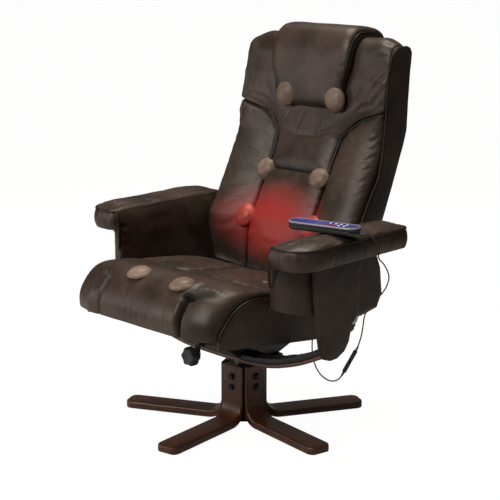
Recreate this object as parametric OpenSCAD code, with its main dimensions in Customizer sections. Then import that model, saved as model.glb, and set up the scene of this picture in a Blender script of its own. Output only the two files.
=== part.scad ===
// Reclining swivel massage armchair on a five-legged bentwood base.
// The chair faces -Y. The origin is on the floor, on the swivel axis.

/* [Base] */
// Distance from the swivel axis to the tip of a leg
leg_reach = 336; // [260:5:380]
// Width of a leg
leg_w = 66; // [56:1:76]
// Thickness of the bent wood
leg_t = 19; // [16:1:26]
// Inner radius of the bend between upright and foot
leg_bend_r = 38; // [26:1:60]
// Height of the top of the uprights
leg_top_z = 162; // [150:1:190]
// Corner radius at the tip of a leg
leg_tip_r = 22; // [6:1:28]
// Height of a glide under a leg
glide_h = 3; // [2:0.5:8]
// Radius of a glide
glide_r = 12; // [8:1:20]
// Distance from the axis to the flats of the hub post
hub_flat = 35.4; // [30:0.2:40]
// Radius of the round foot under the hub post
hub_foot_r = 31; // [20:1:33]
// Shank radius of a leg bolt
bolt_r = 4; // [3:0.5:5]

/* [Swivel and mechanism] */
// Radius of the swivel spindle
spindle_r = 14; // [10:1:20]
// Half width of the mechanism plate
plate_half_w = 90; // [60:1:120]
// Thickness of the mechanism plate
plate_t = 6; // [4:0.5:10]
// Height of the underside of the mechanism plate
plate_z = 184; // [176:1:220]
// Width of the crossbar, front to back
bar_w = 50; // [30:1:60]
// Thickness of the crossbar
bar_t = 25; // [14:1:28]
// Distance of the crossbar's middle in front of the swivel axis
bar_y = 60; // [50:1:70]
// Thickness of the steel uprights inside the arms
upright_t = 6; // [5:1:8]
// Height of the top of the arm uprights
upright_top_z = 490; // [440:1:494]
// Slope of the seat rails, in degrees
seat_tilt = 7; // [0:1:10]
// Distance of the slide rails from the middle
rail_x = 70; // [50:1:80]
// Width of a slide rail
rail_w = 24; // [18:1:30]
// Radius of the tension knob
knob_r = 26; // [18:1:32]
// Length of the tension knob
knob_l = 27; // [16:1:34]

/* [Seat] */
// Half width of the seat over its side panels
seat_half_w = 252; // [230:1:262]
// Front edge of the side panels, as a distance in front of the swivel axis
seat_front = 325; // [290:1:360]
// Depth of the side panels from front to rear
seat_run = 423; // [380:1:424]
// Height of the lowest point of the side panels
seat_base_z = 262; // [256:1:268]
// Height of the side panels above that point
seat_rise = 151; // [130:1:170]
// Thickness of a side panel
side_t = 8; // [5:1:12]
// Thickness of the seat board
board_t = 15; // [10:1:18]
// How far the front edge bows forward in the middle
seat_bow = 38; // [10:1:44]
// Height of the cushion's pillows over their seams
seat_puff = 22; // [8:1:26]
// How far the seat glides forward when the back is fully reclined
seat_glide = 40; // [20:1:60]

/* [Back] */
// Half width of the back over its side panels
back_half_w = 264; // [255:1:272]
// Front of the lumbar panel, as a distance behind the side panels of the seat
back_front = 5; // [4:1:32]
// Depth of the back from the lumbar front to the top rear edge
back_run = 248; // [220:1:270]
// Height of the lower end of the side panels
back_base_z = 345; // [340:1:352]
// Height of the side panels
back_rise = 641; // [560:1:700]
// Radius of the upper corners of the back
back_corner_r = 36; // [12:1:60]
// Thickness of the back pads at the middle of a pillow
pad_t = 44; // [36:1:48]
// Depth of the seams between the pads
seam_d = 20; // [8:1:26]
// Thickness of the headrest pillow at its edge
head_edge = 20; // [10:1:26]
// Height of the hinge pins of the back
pivot_z = 300; // [296:1:304]
// Distance of the hinge pins behind the side panels of the seat
pivot_y = 52; // [48:1:58]
// Radius of the hinge pins
pin_r = 6; // [4:0.5:7]

/* [Arms] */
// Inner edge of an arm pad, from the middle of the chair
pad_in_x = 293; // [285:1:296]
// Width of an arm pad
pad_w = 108; // [90:1:130]
// Front end of an arm pad, as a distance in front of the swivel axis
pad_front = 204; // [180:1:230]
// Length of an arm pad
pad_l = 392; // [340:1:430]
// Height of the underside of an arm pad at its front
pad_z = 501; // [499:1:520]
// Rise of an arm pad from front to rear
pad_climb = 7; // [0:1:12]
// Height of an arm pad from underside to piping
pad_h = 49; // [36:1:60]
// Crown of an arm pad over its piping
pad_crown = 16; // [6:1:22]
// Corner radius at the outer front of an arm pad
pad_corner = 62; // [30:1:66]
// Inner face of an arm box, from the middle of the chair
box_in_x = 281; // [278:1:284]
// Width of an arm box behind its front
box_w = 77; // [60:1:84]
// Front face of an arm box, as a distance in front of the swivel axis
box_front = 188; // [175:1:196]
// Thickness of the upholstered bracket leaf
leaf_t = 12; // [8:1:16]

/* [Handset and cord] */
// Length of the handset
handset_l = 194; // [170:1:200]
// Width of the handset
handset_w = 52; // [46:1:60]
// Height of the lower casing
casing_h = 11; // [9:0.5:13]
// Height of the rim over the lower casing
rim_h = 10; // [8:0.5:12]
// Turn of the handset from the X axis, in degrees
handset_turn = 13; // [5:1:20]
// Travel of a key
key_travel = 0.8; // [0.5:0.1:1]
// Diameter of the handset cord
cord_d = 3.6; // [3:0.1:3.9]

/* [Hidden] */

// Overrun of every cut past the faces that it leaves
over = 1;
// Gap between soft pieces, and between them and what carries them
soft_gap = 0.3;
// Gap between a bolster and the centre panel beside it
bolster_gap = 1.2;
// Radial clearance of a shaft that turns in its bore
turn_gap = 0.05;
// Gap between faces that slide or turn past each other
face_gap = 0.3;

// Base
leg_count = 5;
leg_turn = -8.6;
leg_pitch = 360 / leg_count;
leaf_gap = 1.5;
leg_bolt_z = [leg_top_z - leg_w * 0.46, leg_top_z - leg_w * 0.9];
bolt_head_r = 7;
bolt_head_h = 5;
washer_r = 10;
washer_h = 1.5;
bolt_grip = 12;
hub_foot_h = 6;
spindle_floor = 30;
bearing_h = 6;
bearing_r = 28;
flange_r = 32;

// Where the back starts and where its hinge pins lie, behind the swivel axis
back_y = seat_run - seat_front + back_front;
hinge_y = seat_run - seat_front + pivot_y;

// Swivel and mechanism
plate_front = 62;
plate_rear = 56;
plate_top = plate_z + plate_t;
bearing_top = leg_top_z + bearing_h;
web_t = 8;
rail_h = 14;
rail_front = 150;
rail_rear = 118;
slide_z = 254;
runner_h = 12;
runner_w = 16;
yoke_r = 11;
ear_t = 8;
hinge_gap = 0.8;
hinge_plate_t = 7.7;
yoke_x = back_half_w - side_t - hinge_plate_t - hinge_gap;
pivot_ear_x = yoke_x - ear_t;
ear_r = 15;
screw_r = 5;
screw_z = 215;
knob_front = 204;
tab_t = 5;
tab_y = 170;
tab_half_w = 9;
web_nose_z = 204;
web_tip_h = 14;
control_l = 92;
control_h = 24;
yoke_low_share = 0.42;
control_x = 108;
control_w = 80;
control_z = pivot_z - ear_r - yoke_r - yoke_low_share * control_h;
control_wall = 2.5;
inlet_r = 3;
inlet_deep = 10;
gland_r = 4;
gland_h = 6;
gland_x = 66;
gland_y = 70;

// Crossbar centre line: shares of the distance to an upright, and of the bar's climb
bar_end_x = box_in_x + box_w;
bar_climb = 78;
bar_line_shares = [[0, 0], [0.3, 0.025], [0.5, 0.12], [0.7, 0.37], [0.86, 0.66], [1.06, 1.12]];

// Seat side panel: shares of the seat's run and rise, from the front
seat_side_shares = [[0, 0.32], [0, 0.457], [0.042, 0.656], [0.129, 0.887], [0.185, 0.965], [0.242, 1],
    [0.388, 0.98], [0.588, 0.914], [1, 0.748], [1, 0.007], [0.746, 0.073], [0.266, 0.232]];
// Seat cushion: its underside and its seam line, from the front edge to the rear
seat_under_shares = [[0.059, 0.477], [0.106, 0.55], [0.188, 0.629], [0.266, 0.629],
    [0.388, 0.583], [0.588, 0.517], [0.788, 0.444], [0.991, 0.371]];
seat_seam_shares = [[0, 0.47], [0.042, 0.656], [0.129, 0.887], [0.242, 1],
    [0.388, 0.98], [0.588, 0.914], [0.788, 0.834], [0.991, 0.748]];
// Bow and pillow height at the same stations, as shares of seat_bow and seat_puff
seat_bow_shares = [1, 1.05, 0.9, 0.4, 0.26, 0.26, 0.21, 0.1];
seat_puff_shares = [0.25, 0.75, 1, 0.85, 0.82, 0.82, 0.82, 0.45];
// Channels of the seat, as shares of its half width
seat_channel_shares = [0.6, 0.565, 0.43, 0.23, 0.22, 0.28, 0.36, 0.42];
// Crease across the side pillows: where it lies on the way to the rear, and how wide it is
crease_share = 0.467;
crease_lean_share = 0.12;
crease_w_share = 0.032;
seat_motor_share = 0.24;
seat_rows = 28;
disc_r = 27;
motor_h = 20;
motor_flange = 3;
motor_rim = 5;
hole_gap = 0.5;

// Back side panel: shares of the back's run and rise, up the front and down the rear
back_front_shares = [[0.149, 0], [0.153, 0.086], [0.157, 0.164], [0.181, 0.242], [0.282, 0.34],
    [0.41, 0.425], [0.52, 0.493], [0.585, 0.604], [0.617, 0.724], [0.621, 0.794],
    [0.641, 0.902], [0.706, 0.991]];
back_rear_shares = [[1, 1], [0.965, 0.9], [0.944, 0.785], [0.931, 0.671], [0.895, 0.624],
    [0.73, 0.462], [0.573, 0.318], [0.411, 0.164], [0.331, 0.055], [0.302, 0]];
// Crown line of the back pads, from the lower end to the top
back_face_shares = [[0, 0.051], [0.004, 0.133], [0.016, 0.211], [0.052, 0.273], [0.153, 0.335],
    [0.258, 0.413], [0.339, 0.476], [0.44, 0.554], [0.52, 0.624], [0.56, 0.679],
    [0.585, 0.718], [0.605, 0.757], [0.633, 0.866], [0.702, 0.988]];
// Channel between the centre panel and a bolster: shares of half width, over the rise
back_channel_shares = [[0.051, 0.418], [0.538, 0.418], [0.627, 0.44], [0.671, 0.541],
    [0.71, 0.672], [0.75, 0.96], [0.96, 0.96], [0.988, 0.91]];
lower_end_share = 0.051;
middle_seam_share = 0.479;
bolster_end_share = 0.745;
upper_end_share = 0.988;
cap_front_share = 0.75;
pad_top_thin_share = 0.7;
// Headrest: underside and edge of the pillow, up the front and over the top
head_under_shares = [[0.599, 0.745], [0.603, 0.772], [0.624, 0.85], [0.639, 0.913],
    [0.69, 0.982], [0.762, 1.011], [0.88, 1.016], [1.012, 1.016], [1.03, 0.963],
    [1.03, 0.913], [1.03, 0.889]];
head_edge_shares = [[-0.3, -0.1], [-0.8, 0], [-1, 0], [-1, 0.1], [-1.05, 0.5], [-0.6, 1.1],
    [0.2, 1.15], [0.8, 0.55], [1, 0], [0.9, -0.1], [0.3, -0.05]];
head_half_shares = [0.39, 0.42, 0.455, 0.5, 0.52, 0.52, 0.52, 0.52, 0.515, 0.505, 0.49];
head_puff_shares = [0, 0.35, 0.4, 0.45, 0.6, 0.95, 0.85, 0.75, 0.65, 0.35, 0];
// Slats of the back, as shares of its rise, and which of them hold motors
slat_shares = [0.1, 0.312, 0.477, 0.63, 0.79, 0.92];
slat_h = 70;
slat_t = 8;
slat_gap = 5;
lower_rows = 14;
heater_t = 1.2;
heater_half_w = 104;
heater_low_share = 0.164;
heater_high_share = 0.43;
lumbar_motor_x = 107;
middle_motor_x = 98;
head_motor_x = 88;
seat_motor_x = 77;
hinge_plate_w = 30;
hinge_plate_h = 68;
hinge_plate_neck = 18;

// Arms: outlines of box and leaf as shares of the pad's length and of the arm's drop
arm_drop = 240;
box_shares = [[0, 0], [0, 0.43], [0.09, 0.48], [0.6, 0.665], [0.69, 0.68],
    [0.84, 0.64], [0.887, 0.5], [0.87, 0.22], [0.815, 0]];
leaf_shares = [[0.19, 0], [0.203, 0.332], [0.233, 0.712], [0.255, 0.892], [0.29, 0.987],
    [0.345, 1.02], [0.407, 1.017], [0.475, 0.962], [0.515, 0.872], [0.535, 0.742],
    [0.545, 0.692], [0.568, 0.662], [0.606, 0.572], [0.616, 0]];
// Plan of a box's nose: shares of the box's width and of the nose's length
box_nose = 52;
box_nose_shares = [[0, 0], [0.25, 0.09], [0.92, 0.8], [1, 1]];
stud_r = 4;
stud_l = 26;
stud_z = [330, 450];
pad_inner_corner = 24;
pad_rear_corner = 14;
pad_join = 0.5;

// Handset
handset_x = 322;
handset_y = -41;
rim_wall = 3;
panel_t = 2;
panel_drop = 0.6;
// Sunk window at the left of the panel, as shares of the handset's length
window_shares = [-0.46, -0.11];
window_margin = 4;
window_deep = 0.4;
key_r = 3.4;
key_h = 5;
key_proud = 1.5 * key_travel;
key_gap = 0.3;
key_pitch_x = 15;
key_pitch_y = 15;
key_first_x = 14;
casing_floor = 3;
relief_r = 3.4;
relief_l = 6;

// Cord: round points on its way from the handset to the connector, and on to the control box
cord_a = [[422.5, -18, 575], [430, -16, 575], [429, 4, 571], [413, 38, 553],
    [403.5, 68, 519], [403, 67, 503], [392, 89, 487], [375, 122, 470], [362, 153, 444],
    [352, 171, 422], [346, 171, 401], [340, 166, 386], [332, 153, 368], [326, 132, 349],
    [322, 115, 329], [325, 106, 306], [330, 94, 281], [331, 79, 253]];
cord_b = [[280, 79, 168], [268, 79, 154], [248, 79, 144], [226, 79, 144], [204, 79, 153],
    [187, 79, 171], [177, 79, 195], [174, 79, 222], [174, 80, 242], [174, 80, 258]];
cord_rings_a = 52;
cord_rings_b = 26;
connector_r = 5.5;
connector_neck_r = 3;
connector_neck_l = 12;

seat_in_x = seat_half_w - side_t;
back_in_x = back_half_w - side_t;
leaf_x = bar_end_x + upright_t;

// Point of the seat's side view from shares of its run and rise
function seat_yz(s) = [-seat_front + s.x * seat_run, seat_base_z + s.y * seat_rise];
// Point of the back's side view from shares of its run and rise
function back_yz(s) = [back_y + s.x * back_run, back_base_z + s.y * back_rise];
// Height of an arm pad's underside at a place along the chair
function arm_under(y) = pad_z + pad_climb * (y + pad_front) / pad_l;
// Point of an arm's side view from shares of the pad's length and of the drop
function arm_yz(s) = let (y = -pad_front + s.x * pad_l)
    [y, arm_under(y) - s.y * arm_drop];
handset_z = arm_under(handset_y + handset_w) + pad_h + pad_crown + face_gap;
function mix(a, b, t) = a + (b - a) * t;
function unit(v) = v / norm(v);
// Smooth curve through a list of evenly spaced values or points, for t from 0 to 1
function curve(list, t) = let (n = len(list) - 1, k = min(floor(t * n), n - 1), f = t * n - k,
    a = list[max(k - 1, 0)], b = list[k], c = list[k + 1], d = list[min(k + 2, n)])
    (2 * b + (c - a) * f + (2 * a - 5 * b + 4 * c - d) * f * f
        + (3 * b - a - 3 * c + d) * f * f * f) / 2;
// Share of full height on a pillow, from its middle (0) to its seam (1)
function pillow(u) = pow(max(0, 1 - pow(min(1, abs(u)), 2.6)), 0.55);
function steps(n) = [for (i = [0 : n]) i / n];
// Line of the back's crown, and its channel, at a height given as a share of the rise
function face_y(s) = back_y
    + back_run * lookup(s, [for (p = back_face_shares) [p.y, p.x]]);
function piping_y(s) = back_y
    + back_run * lookup(s, [for (p = back_front_shares) [p.y, p.x]]);
function channel_x(s) = back_half_w * lookup(s, back_channel_shares);
function pad_depth(s) = pad_t * lookup(s, [[0.6, 1], [0.78, pad_top_thin_share]]);
function back_z(s) = back_base_z + back_rise * s;
function face_slope(s) = atan2(face_y(s + 0.02) - face_y(s - 0.02), back_rise * 0.04);

// Closed solid through rings that all hold the same number of points
module loft(rings) {
    m = len(rings[0]);
    n = len(rings);
    middles = [for (r = [rings[0], rings[n - 1]]) [for (k = [0 : 2]) sum_of(r, k) / m]];
    points = [for (r = rings) each r, each middles];
    walls = [for (i = [0 : n - 2], j = [0 : m - 1])
        let (a = i * m + j, b = i * m + (j + 1) % m)
        each [[a, b + m, b], [a, a + m, b + m]]];
    start = [for (j = [0 : m - 1]) [j, (j + 1) % m, n * m]];
    end = [for (j = [0 : m - 1]) [(n - 1) * m + (j + 1) % m, (n - 1) * m + j, n * m + 1]];
    polyhedron(points, concat(walls, start, end));
}
function sum_of(ring, k) = [for (p = ring) 1] * [for (p = ring) p[k]];

// Ring of a pad: crown points from side to side, then the two corners of its underside
function pad_ring(under, out, xs, hs) = concat(
    [for (j = [0 : len(xs) - 1])
        [xs[j], under.x + out.x * hs[j], under.y + out.y * hs[j]]],
    [[xs[len(xs) - 1], under.x, under.y], [xs[0], under.x, under.y]]);

module at_slope() {
    translate([0, 0, slide_z]) rotate([-seat_tilt, 0, 0]) children();
}

// Flat panel of the side view, standing across X from x0 to x1
module side_plate(points, x0, x1) {
    translate([x0, 0, 0]) rotate([90, 0, 90]) linear_extrude(x1 - x0) polygon(points);
}

module leg_side() {
    bend = leg_t + leg_bend_r;
    bend_x = hub_flat + bend;
    bend_z = glide_h + bend;
    translate([hub_flat, bend_z]) square([leg_t, leg_top_z - bend_z]);
    translate([bend_x, glide_h]) square([leg_reach - bend_x, leg_t]);
    translate([bend_x, bend_z]) intersection() {
        difference() {
            circle(bend, $fn = 96);
            circle(leg_bend_r, $fn = 96);
        }
        translate([-bend, -bend]) square(bend);
    }
}

module leg_plan() {
    half = leg_w / 2;
    mitre_x = leaf_gap / sin(leg_pitch / 2);
    mitre_y = (leg_reach + over) * tan(leg_pitch / 2);
    intersection() {
        union() {
            translate([0, -half]) square([leg_reach - leg_tip_r, leg_w]);
            translate([0, leg_tip_r - half]) square([leg_reach, leg_w - 2 * leg_tip_r]);
            for (s = [-1, 1])
                translate([leg_reach - leg_tip_r, s * (half - leg_tip_r)])
                    circle(leg_tip_r, $fn = 48);
        }
        polygon([[mitre_x, 0], [mitre_x + leg_reach + over, -mitre_y],
            [mitre_x + leg_reach + over, mitre_y]]);
    }
}

module leg(k) {
    color("#4a2a1c") rotate([0, 0, leg_turn + k * leg_pitch]) difference() {
        intersection() {
            rotate([90, 0, 0]) translate([0, 0, -leg_w]) linear_extrude(2 * leg_w) leg_side();
            linear_extrude(leg_top_z + over) leg_plan();
        }
        for (z = leg_bolt_z) translate([0, 0, z]) rotate([0, 90, 0])
            cylinder(r = bolt_r + turn_gap, h = leg_reach, $fn = 32);
    }
}

module hub_post() {
    color("#16161a") difference() {
        union() {
            cylinder(r = hub_foot_r, h = hub_foot_h, $fn = 64);
            rotate([0, 0, leg_turn + leg_pitch / 2]) translate([0, 0, hub_foot_h])
                cylinder(r = hub_flat / cos(leg_pitch / 2), h = leg_top_z - hub_foot_h,
                    $fn = leg_count);
        }
        translate([0, 0, spindle_floor])
            cylinder(r = spindle_r + turn_gap, h = leg_top_z, $fn = 64);
        for (k = [1 : leg_count], z = leg_bolt_z)
            rotate([0, 0, leg_turn + k * leg_pitch]) translate([hub_flat - bolt_grip, 0, z])
                rotate([0, 90, 0]) cylinder(r = bolt_r + turn_gap, h = bolt_grip + over, $fn = 32);
    }
}

module leg_bolts() {
    face = hub_flat + leg_t;
    color("#1b1b1d") for (k = [1 : leg_count], z = leg_bolt_z)
        rotate([0, 0, leg_turn + k * leg_pitch]) translate([face, 0, z]) rotate([0, 90, 0]) {
            cylinder(r = washer_r, h = washer_h, $fn = 48);
            translate([0, 0, washer_h]) cylinder(r = bolt_head_r, h = bolt_head_h, $fn = 6);
            translate([0, 0, over - leg_t - bolt_grip])
                cylinder(r = bolt_r, h = leg_t + bolt_grip, $fn = 32);
        }
}

module foot_glides() {
    color("#222222") for (k = [1 : leg_count])
        rotate([0, 0, leg_turn + k * leg_pitch])
            translate([leg_reach - 2 * leg_tip_r, 0, 0]) cylinder(r = glide_r, h = glide_h, $fn = 48);
}

module thrust_bearing() {
    color("#3a3a40") translate([0, 0, leg_top_z]) difference() {
        cylinder(r = bearing_r, h = bearing_h, $fn = 64);
        translate([0, 0, -over])
            cylinder(r = spindle_r + turn_gap, h = bearing_h + 2 * over, $fn = 64);
    }
}

module spindle() {
    foot = spindle_floor + face_gap;
    flange_z = bearing_top + face_gap;
    color("#2c2d33") union() {
        translate([0, 0, foot]) cylinder(r = spindle_r, h = plate_z - foot, $fn = 64);
        translate([0, 0, flange_z]) cylinder(r = flange_r, h = plate_z - flange_z, $fn = 64);
    }
}

// Height of the slide rails' underside at a place along the chair
function rail_under(y) = slide_z - rail_h / cos(seat_tilt) - y * tan(seat_tilt);

module mechanism_frame() {
    bar_top = plate_top + bar_t + over;
    bar_front = -bar_y - bar_w / 2;
    bar_rear = -bar_y + bar_w / 2;
    brace_z = rail_under(-rail_front) - web_tip_h;
    color("#1d1e21") union() {
        translate([-plate_half_w, -plate_front, plate_z])
            cube([2 * plate_half_w, plate_front + plate_rear, plate_t]);
        for (s = [-1, 1])
            side_plate([[bar_rear + over, plate_top - over], [bar_rear + over, bar_top],
                [bar_front - over, bar_top], [bar_front - over, web_nose_z],
                [-rail_front, rail_under(-rail_front) - web_tip_h],
                [-rail_front, rail_under(-rail_front)], [rail_rear, rail_under(rail_rear)],
                [rail_rear, rail_under(rail_rear) - web_tip_h], [plate_rear, plate_top - over]],
                s * rail_x - web_t / 2, s * rail_x + web_t / 2);
        // Cross tube behind the seat, with the ears of the back hinge
        translate([-yoke_x, hinge_y, pivot_z - ear_r - yoke_r]) rotate([0, 90, 0])
            cylinder(r = yoke_r, h = 2 * yoke_x, $fn = 48);
        for (s = [-1, 1])
            side_plate([[rail_rear - over, rail_under(rail_rear) - over],
                [hinge_y, pivot_z - ear_r], [hinge_y, pivot_z - ear_r - 2 * yoke_r],
                [rail_rear - over, rail_under(rail_rear) - web_tip_h]],
                s * rail_x - web_t / 2, s * rail_x + web_t / 2);
        for (s = [-1, 1]) difference() {
            union() {
                translate([s * (pivot_ear_x + ear_t / 2) - ear_t / 2, hinge_y, pivot_z])
                    rotate([0, 90, 0]) cylinder(r = ear_r, h = ear_t, $fn = 48);
                translate([s * (pivot_ear_x + ear_t / 2) - ear_t / 2, hinge_y - ear_r,
                    pivot_z - ear_r - yoke_r]) cube([ear_t, 2 * ear_r, ear_r + yoke_r]);
            }
            translate([s * (pivot_ear_x + ear_t / 2) - ear_t, hinge_y, pivot_z])
                rotate([0, 90, 0]) cylinder(r = pin_r, h = 2 * ear_t, $fn = 48);
        }
        // Brace between the webs, with the tab that holds the tension screw
        translate([-rail_x, -rail_front, brace_z]) 
            cube([2 * rail_x, web_t, web_tip_h - web_t * tan(seat_tilt)]);
        translate([-tab_half_w, -tab_y, brace_z])
            cube([2 * tab_half_w, tab_y - rail_front + web_t, web_t]);
        difference() {
            translate([-tab_half_w, -tab_y, screw_z - tab_half_w])
                cube([2 * tab_half_w, tab_t, brace_z - screw_z + tab_half_w + over]);
            translate([0, over - tab_y + tab_t, screw_z]) rotate([90, 0, 0])
                cylinder(r = screw_r + turn_gap, h = tab_t + 2 * over, $fn = 32);
        }
    }
}

function bar_point(s) = [s.x * bar_end_x, plate_top + bar_t / 2 + s.y * bar_climb];

module crossbar() {
    mids = [for (t = steps(20)) curve([for (s = bar_line_shares) bar_point(s)], t)];
    n = len(mids) - 1;
    outs = [for (i = [0 : n]) let (d = unit(mids[min(i + 1, n)] - mids[max(i - 1, 0)]))
        [-d.y, d.x] * bar_t / 2];
    half = [for (i = [0 : n]) mids[i] + outs[i], for (i = [n : -1 : 0]) mids[i] - outs[i]];
    color("#19191b") translate([0, bar_w / 2 - bar_y, 0]) rotate([90, 0, 0])
        linear_extrude(bar_w) intersection() {
            union() {
                polygon(half);
                mirror([1, 0]) polygon(half);
            }
            translate([-bar_end_x, 0]) square([2 * bar_end_x, upright_top_z]);
        }
}

module slide_rails() {
    color("#8f9196") for (s = [-1, 1])
        at_slope() translate([s * rail_x - rail_w / 2, -rail_front, -rail_h])
            cube([rail_w, rail_front + rail_rear, rail_h - face_gap]);
}

module recline_pins() {
    color("#b9bbc0") for (s = [-1, 1])
        translate([s == 1 ? pivot_ear_x : -pin_end_x, hinge_y, pivot_z]) rotate([0, 90, 0])
            cylinder(r = pin_r, h = pin_end_x - pivot_ear_x, $fn = 48);
}
pin_end_x = back_in_x - soft_gap;

module arm_uprights() {
    foot_z = plate_top + bar_climb;
    color("#1d1e21") for (s = [-1, 1]) difference() {
        translate([s == 1 ? bar_end_x : -leaf_x, -bar_y - bar_w / 2, foot_z])
            cube([upright_t, bar_w, upright_top_z - foot_z]);
        for (z = stud_z) translate([s * leaf_x - leaf_x, -bar_y, z]) rotate([0, 90, 0])
            cylinder(r = stud_r, h = 2 * leaf_x, $fn = 32);
    }
}

module arm_studs() {
    mid_x = bar_end_x + upright_t / 2;
    color("#7d7f84") for (s = [-1, 1], z = stud_z)
        translate([s * mid_x - stud_l / 2, -bar_y, z]) rotate([0, 90, 0])
            cylinder(r = stud_r, h = stud_l, $fn = 32);
}

module stud_holes() {
    mid_x = bar_end_x + upright_t / 2;
    for (z = stud_z) translate([mid_x - stud_l / 2, -bar_y, z]) rotate([0, 90, 0])
        cylinder(r = stud_r, h = stud_l, $fn = 32);
}

module to_side(s) {
    if (s > 0) children();
    else mirror([1, 0, 0]) children();
}

module arm_box(s) {
    color("#2e2622") to_side(s) difference() {
        intersection() {
            side_plate([for (p = box_shares) arm_yz(p)], box_in_x, bar_end_x);
            linear_extrude(pad_z + pad_h) polygon(concat([for (p = box_nose_shares)
                [box_in_x + p.x * box_w, p.y * box_nose - box_front]],
                [[bar_end_x, pad_l], [box_in_x, pad_l]]));
        }
        stud_holes();
    }
}

module arm_leaf(s) {
    color("#2e2622") to_side(s) difference() {
        side_plate([for (p = leaf_shares) arm_yz(p)], leaf_x, leaf_x + leaf_t);
        stud_holes();
    }
}

// How far a rounded corner of radius r cuts in, at a distance d from its end
function corner_in(d, r) = d < r ? r - sqrt(max(0, r * r - (r - d) * (r - d))) : 0;

module arm_pad(s) {
    cells = 10;
    rings = [for (t = steps(18)) let (
        q = (1 - cos(180 * t)) / 2,
        y = -pad_front + q * pad_l,
        d0 = q * pad_l + over / 2,
        d1 = (1 - q) * pad_l + over / 2,
        x0 = pad_in_x + max(corner_in(d0, pad_inner_corner), corner_in(d1, pad_rear_corner)),
        x1 = pad_in_x + pad_w
            - max(corner_in(d0, pad_corner), corner_in(d1, 2 * pad_rear_corner)),
        lift = pad_crown * pillow(2 * q - 1))
        pad_ring([y, arm_under(y) + pad_join], [0, 1],
            [for (u = steps(cells)) mix(x0, x1, u)],
            [for (u = steps(cells)) pad_h - pad_join + lift * pillow(2 * u - 1)])];
    color("#332a26") to_side(s) loft(rings);
}

module knob() {
    color("#55575a") translate([0, -knob_front + knob_l, screw_z]) rotate([90, 0, 0])
        difference() {
            cylinder(r = knob_r, h = knob_l, $fn = 64);
            for (a = [0 : 60 : 359]) rotate([0, 0, a])
                translate([knob_r + screw_r / 2, 0, -over])
                    cylinder(r = screw_r, h = knob_l + 2 * over, $fn = 32);
            translate([0, 0, -over]) cylinder(r = screw_r, h = knob_l / 2 + over, $fn = 32);
        }
}

module knob_screw() {
    rear = tab_y - 2 * tab_t;
    color("#8f9196") translate([0, -rear, screw_z]) rotate([90, 0, 0])
        cylinder(r = screw_r, h = knob_front - knob_l / 2 - rear, $fn = 32);
}

module control_box() {
    wide = control_w - yoke_r / 2;
    color("#1b1b1d") difference() {
        union() {
            translate([control_x, hinge_y - control_w, control_z]) difference() {
                cube([control_l, wide, control_h]);
                translate([control_wall, control_wall, control_wall])
                    cube([control_l - 2 * control_wall, wide - yoke_r - control_wall,
                        control_h - 2 * control_wall]);
                translate([control_l - inlet_deep, wide / 2, control_h / 2])
                    rotate([0, 90, 0]) cylinder(r = inlet_r, h = inlet_deep + over, $fn = 32);
            }
            translate([control_x + gland_x, hinge_y - gland_y, control_z - gland_h])
                cylinder(r = gland_r, h = gland_h + control_wall / 2, $fn = 32);
        }
        // Saddle that clips onto the cross tube
        translate([control_x - over, hinge_y, pivot_z - ear_r - yoke_r]) rotate([0, 90, 0])
            cylinder(r = yoke_r, h = control_l + 2 * over, $fn = 48);
    }
}

module seat_runners() {
    color("#a3a5aa") for (s = [-1, 1])
        at_slope() translate([s * rail_x - runner_w / 2, -rail_front, 0])
            cube([runner_w, rail_front + rail_rear - seat_glide / 2, runner_h]);
}

function under_z(y) = lookup(y, [for (p = seat_under_shares) seat_yz(p)]);

// Underside of the seat cushion in the side view, and the board's lower face under it
seat_under = [for (t = steps(seat_rows)) curve([for (p = seat_under_shares) seat_yz(p)], t)];
seat_board_low = [for (i = [0 : seat_rows])
    let (d = unit(seat_under[min(i + 1, seat_rows)] - seat_under[max(i - 1, 0)]))
    seat_under[i] + [d.y, -d.x] * board_t];

module seat_battens() {
    front = -rail_front - runner_h;
    color("#b08a5c") intersection() {
        for (s = [-1, 1])
            at_slope() translate([s * rail_x - rail_w / 2, -rail_front, runner_h])
                cube([rail_w, rail_front + rail_rear - seat_glide / 2, seat_rise]);
        side_plate(concat([[front, seat_base_z]],
            [for (p = seat_board_low) if (p.x > front) p - [0, soft_gap]],
            [[seat_under[seat_rows].x, seat_base_z]]), -seat_in_x, seat_in_x);
    }
}

module seat_board() {
    lower = [for (i = [seat_rows : -1 : 0]) seat_board_low[i]];
    color("#b08a5c") difference() {
        side_plate(concat(seat_under, lower), soft_gap - seat_in_x, seat_in_x - soft_gap);
        for (s = [-1, 1]) translate([s * seat_motor_x, seat_motor_y, under_z(seat_motor_y)])
            cylinder(r = disc_r + hole_gap, h = 4 * board_t, center = true, $fn = 64);
    }
}
seat_motor_y = -seat_front + seat_run * seat_motor_share;

module motor() {
    translate([0, 0, -motor_h]) cylinder(r = disc_r, h = motor_h, $fn = 64);
    translate([0, 0, -motor_h]) cylinder(r = disc_r + motor_rim, h = motor_flange, $fn = 64);
}

module seat_motors() {
    color("#2f3033") for (s = [-1, 1])
        translate([s * seat_motor_x, seat_motor_y, under_z(seat_motor_y) - motor_rim])
            motor();
}

module seat_side(s) {
    color("#2e2622") to_side(s)
        side_plate([for (p = seat_side_shares) seat_yz(p)], seat_in_x, seat_half_w);
}

// Places across the seat: each of the three pillows is divided into the same number of cells
function seat_xs(c, half, cells) = concat(
    [for (k = [0 : cells - 1]) mix(-half, -c, k / cells)],
    [for (k = [0 : cells - 1]) mix(-c, c, k / cells)],
    [for (k = [0 : cells]) mix(c, half, k / cells)]);

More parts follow.
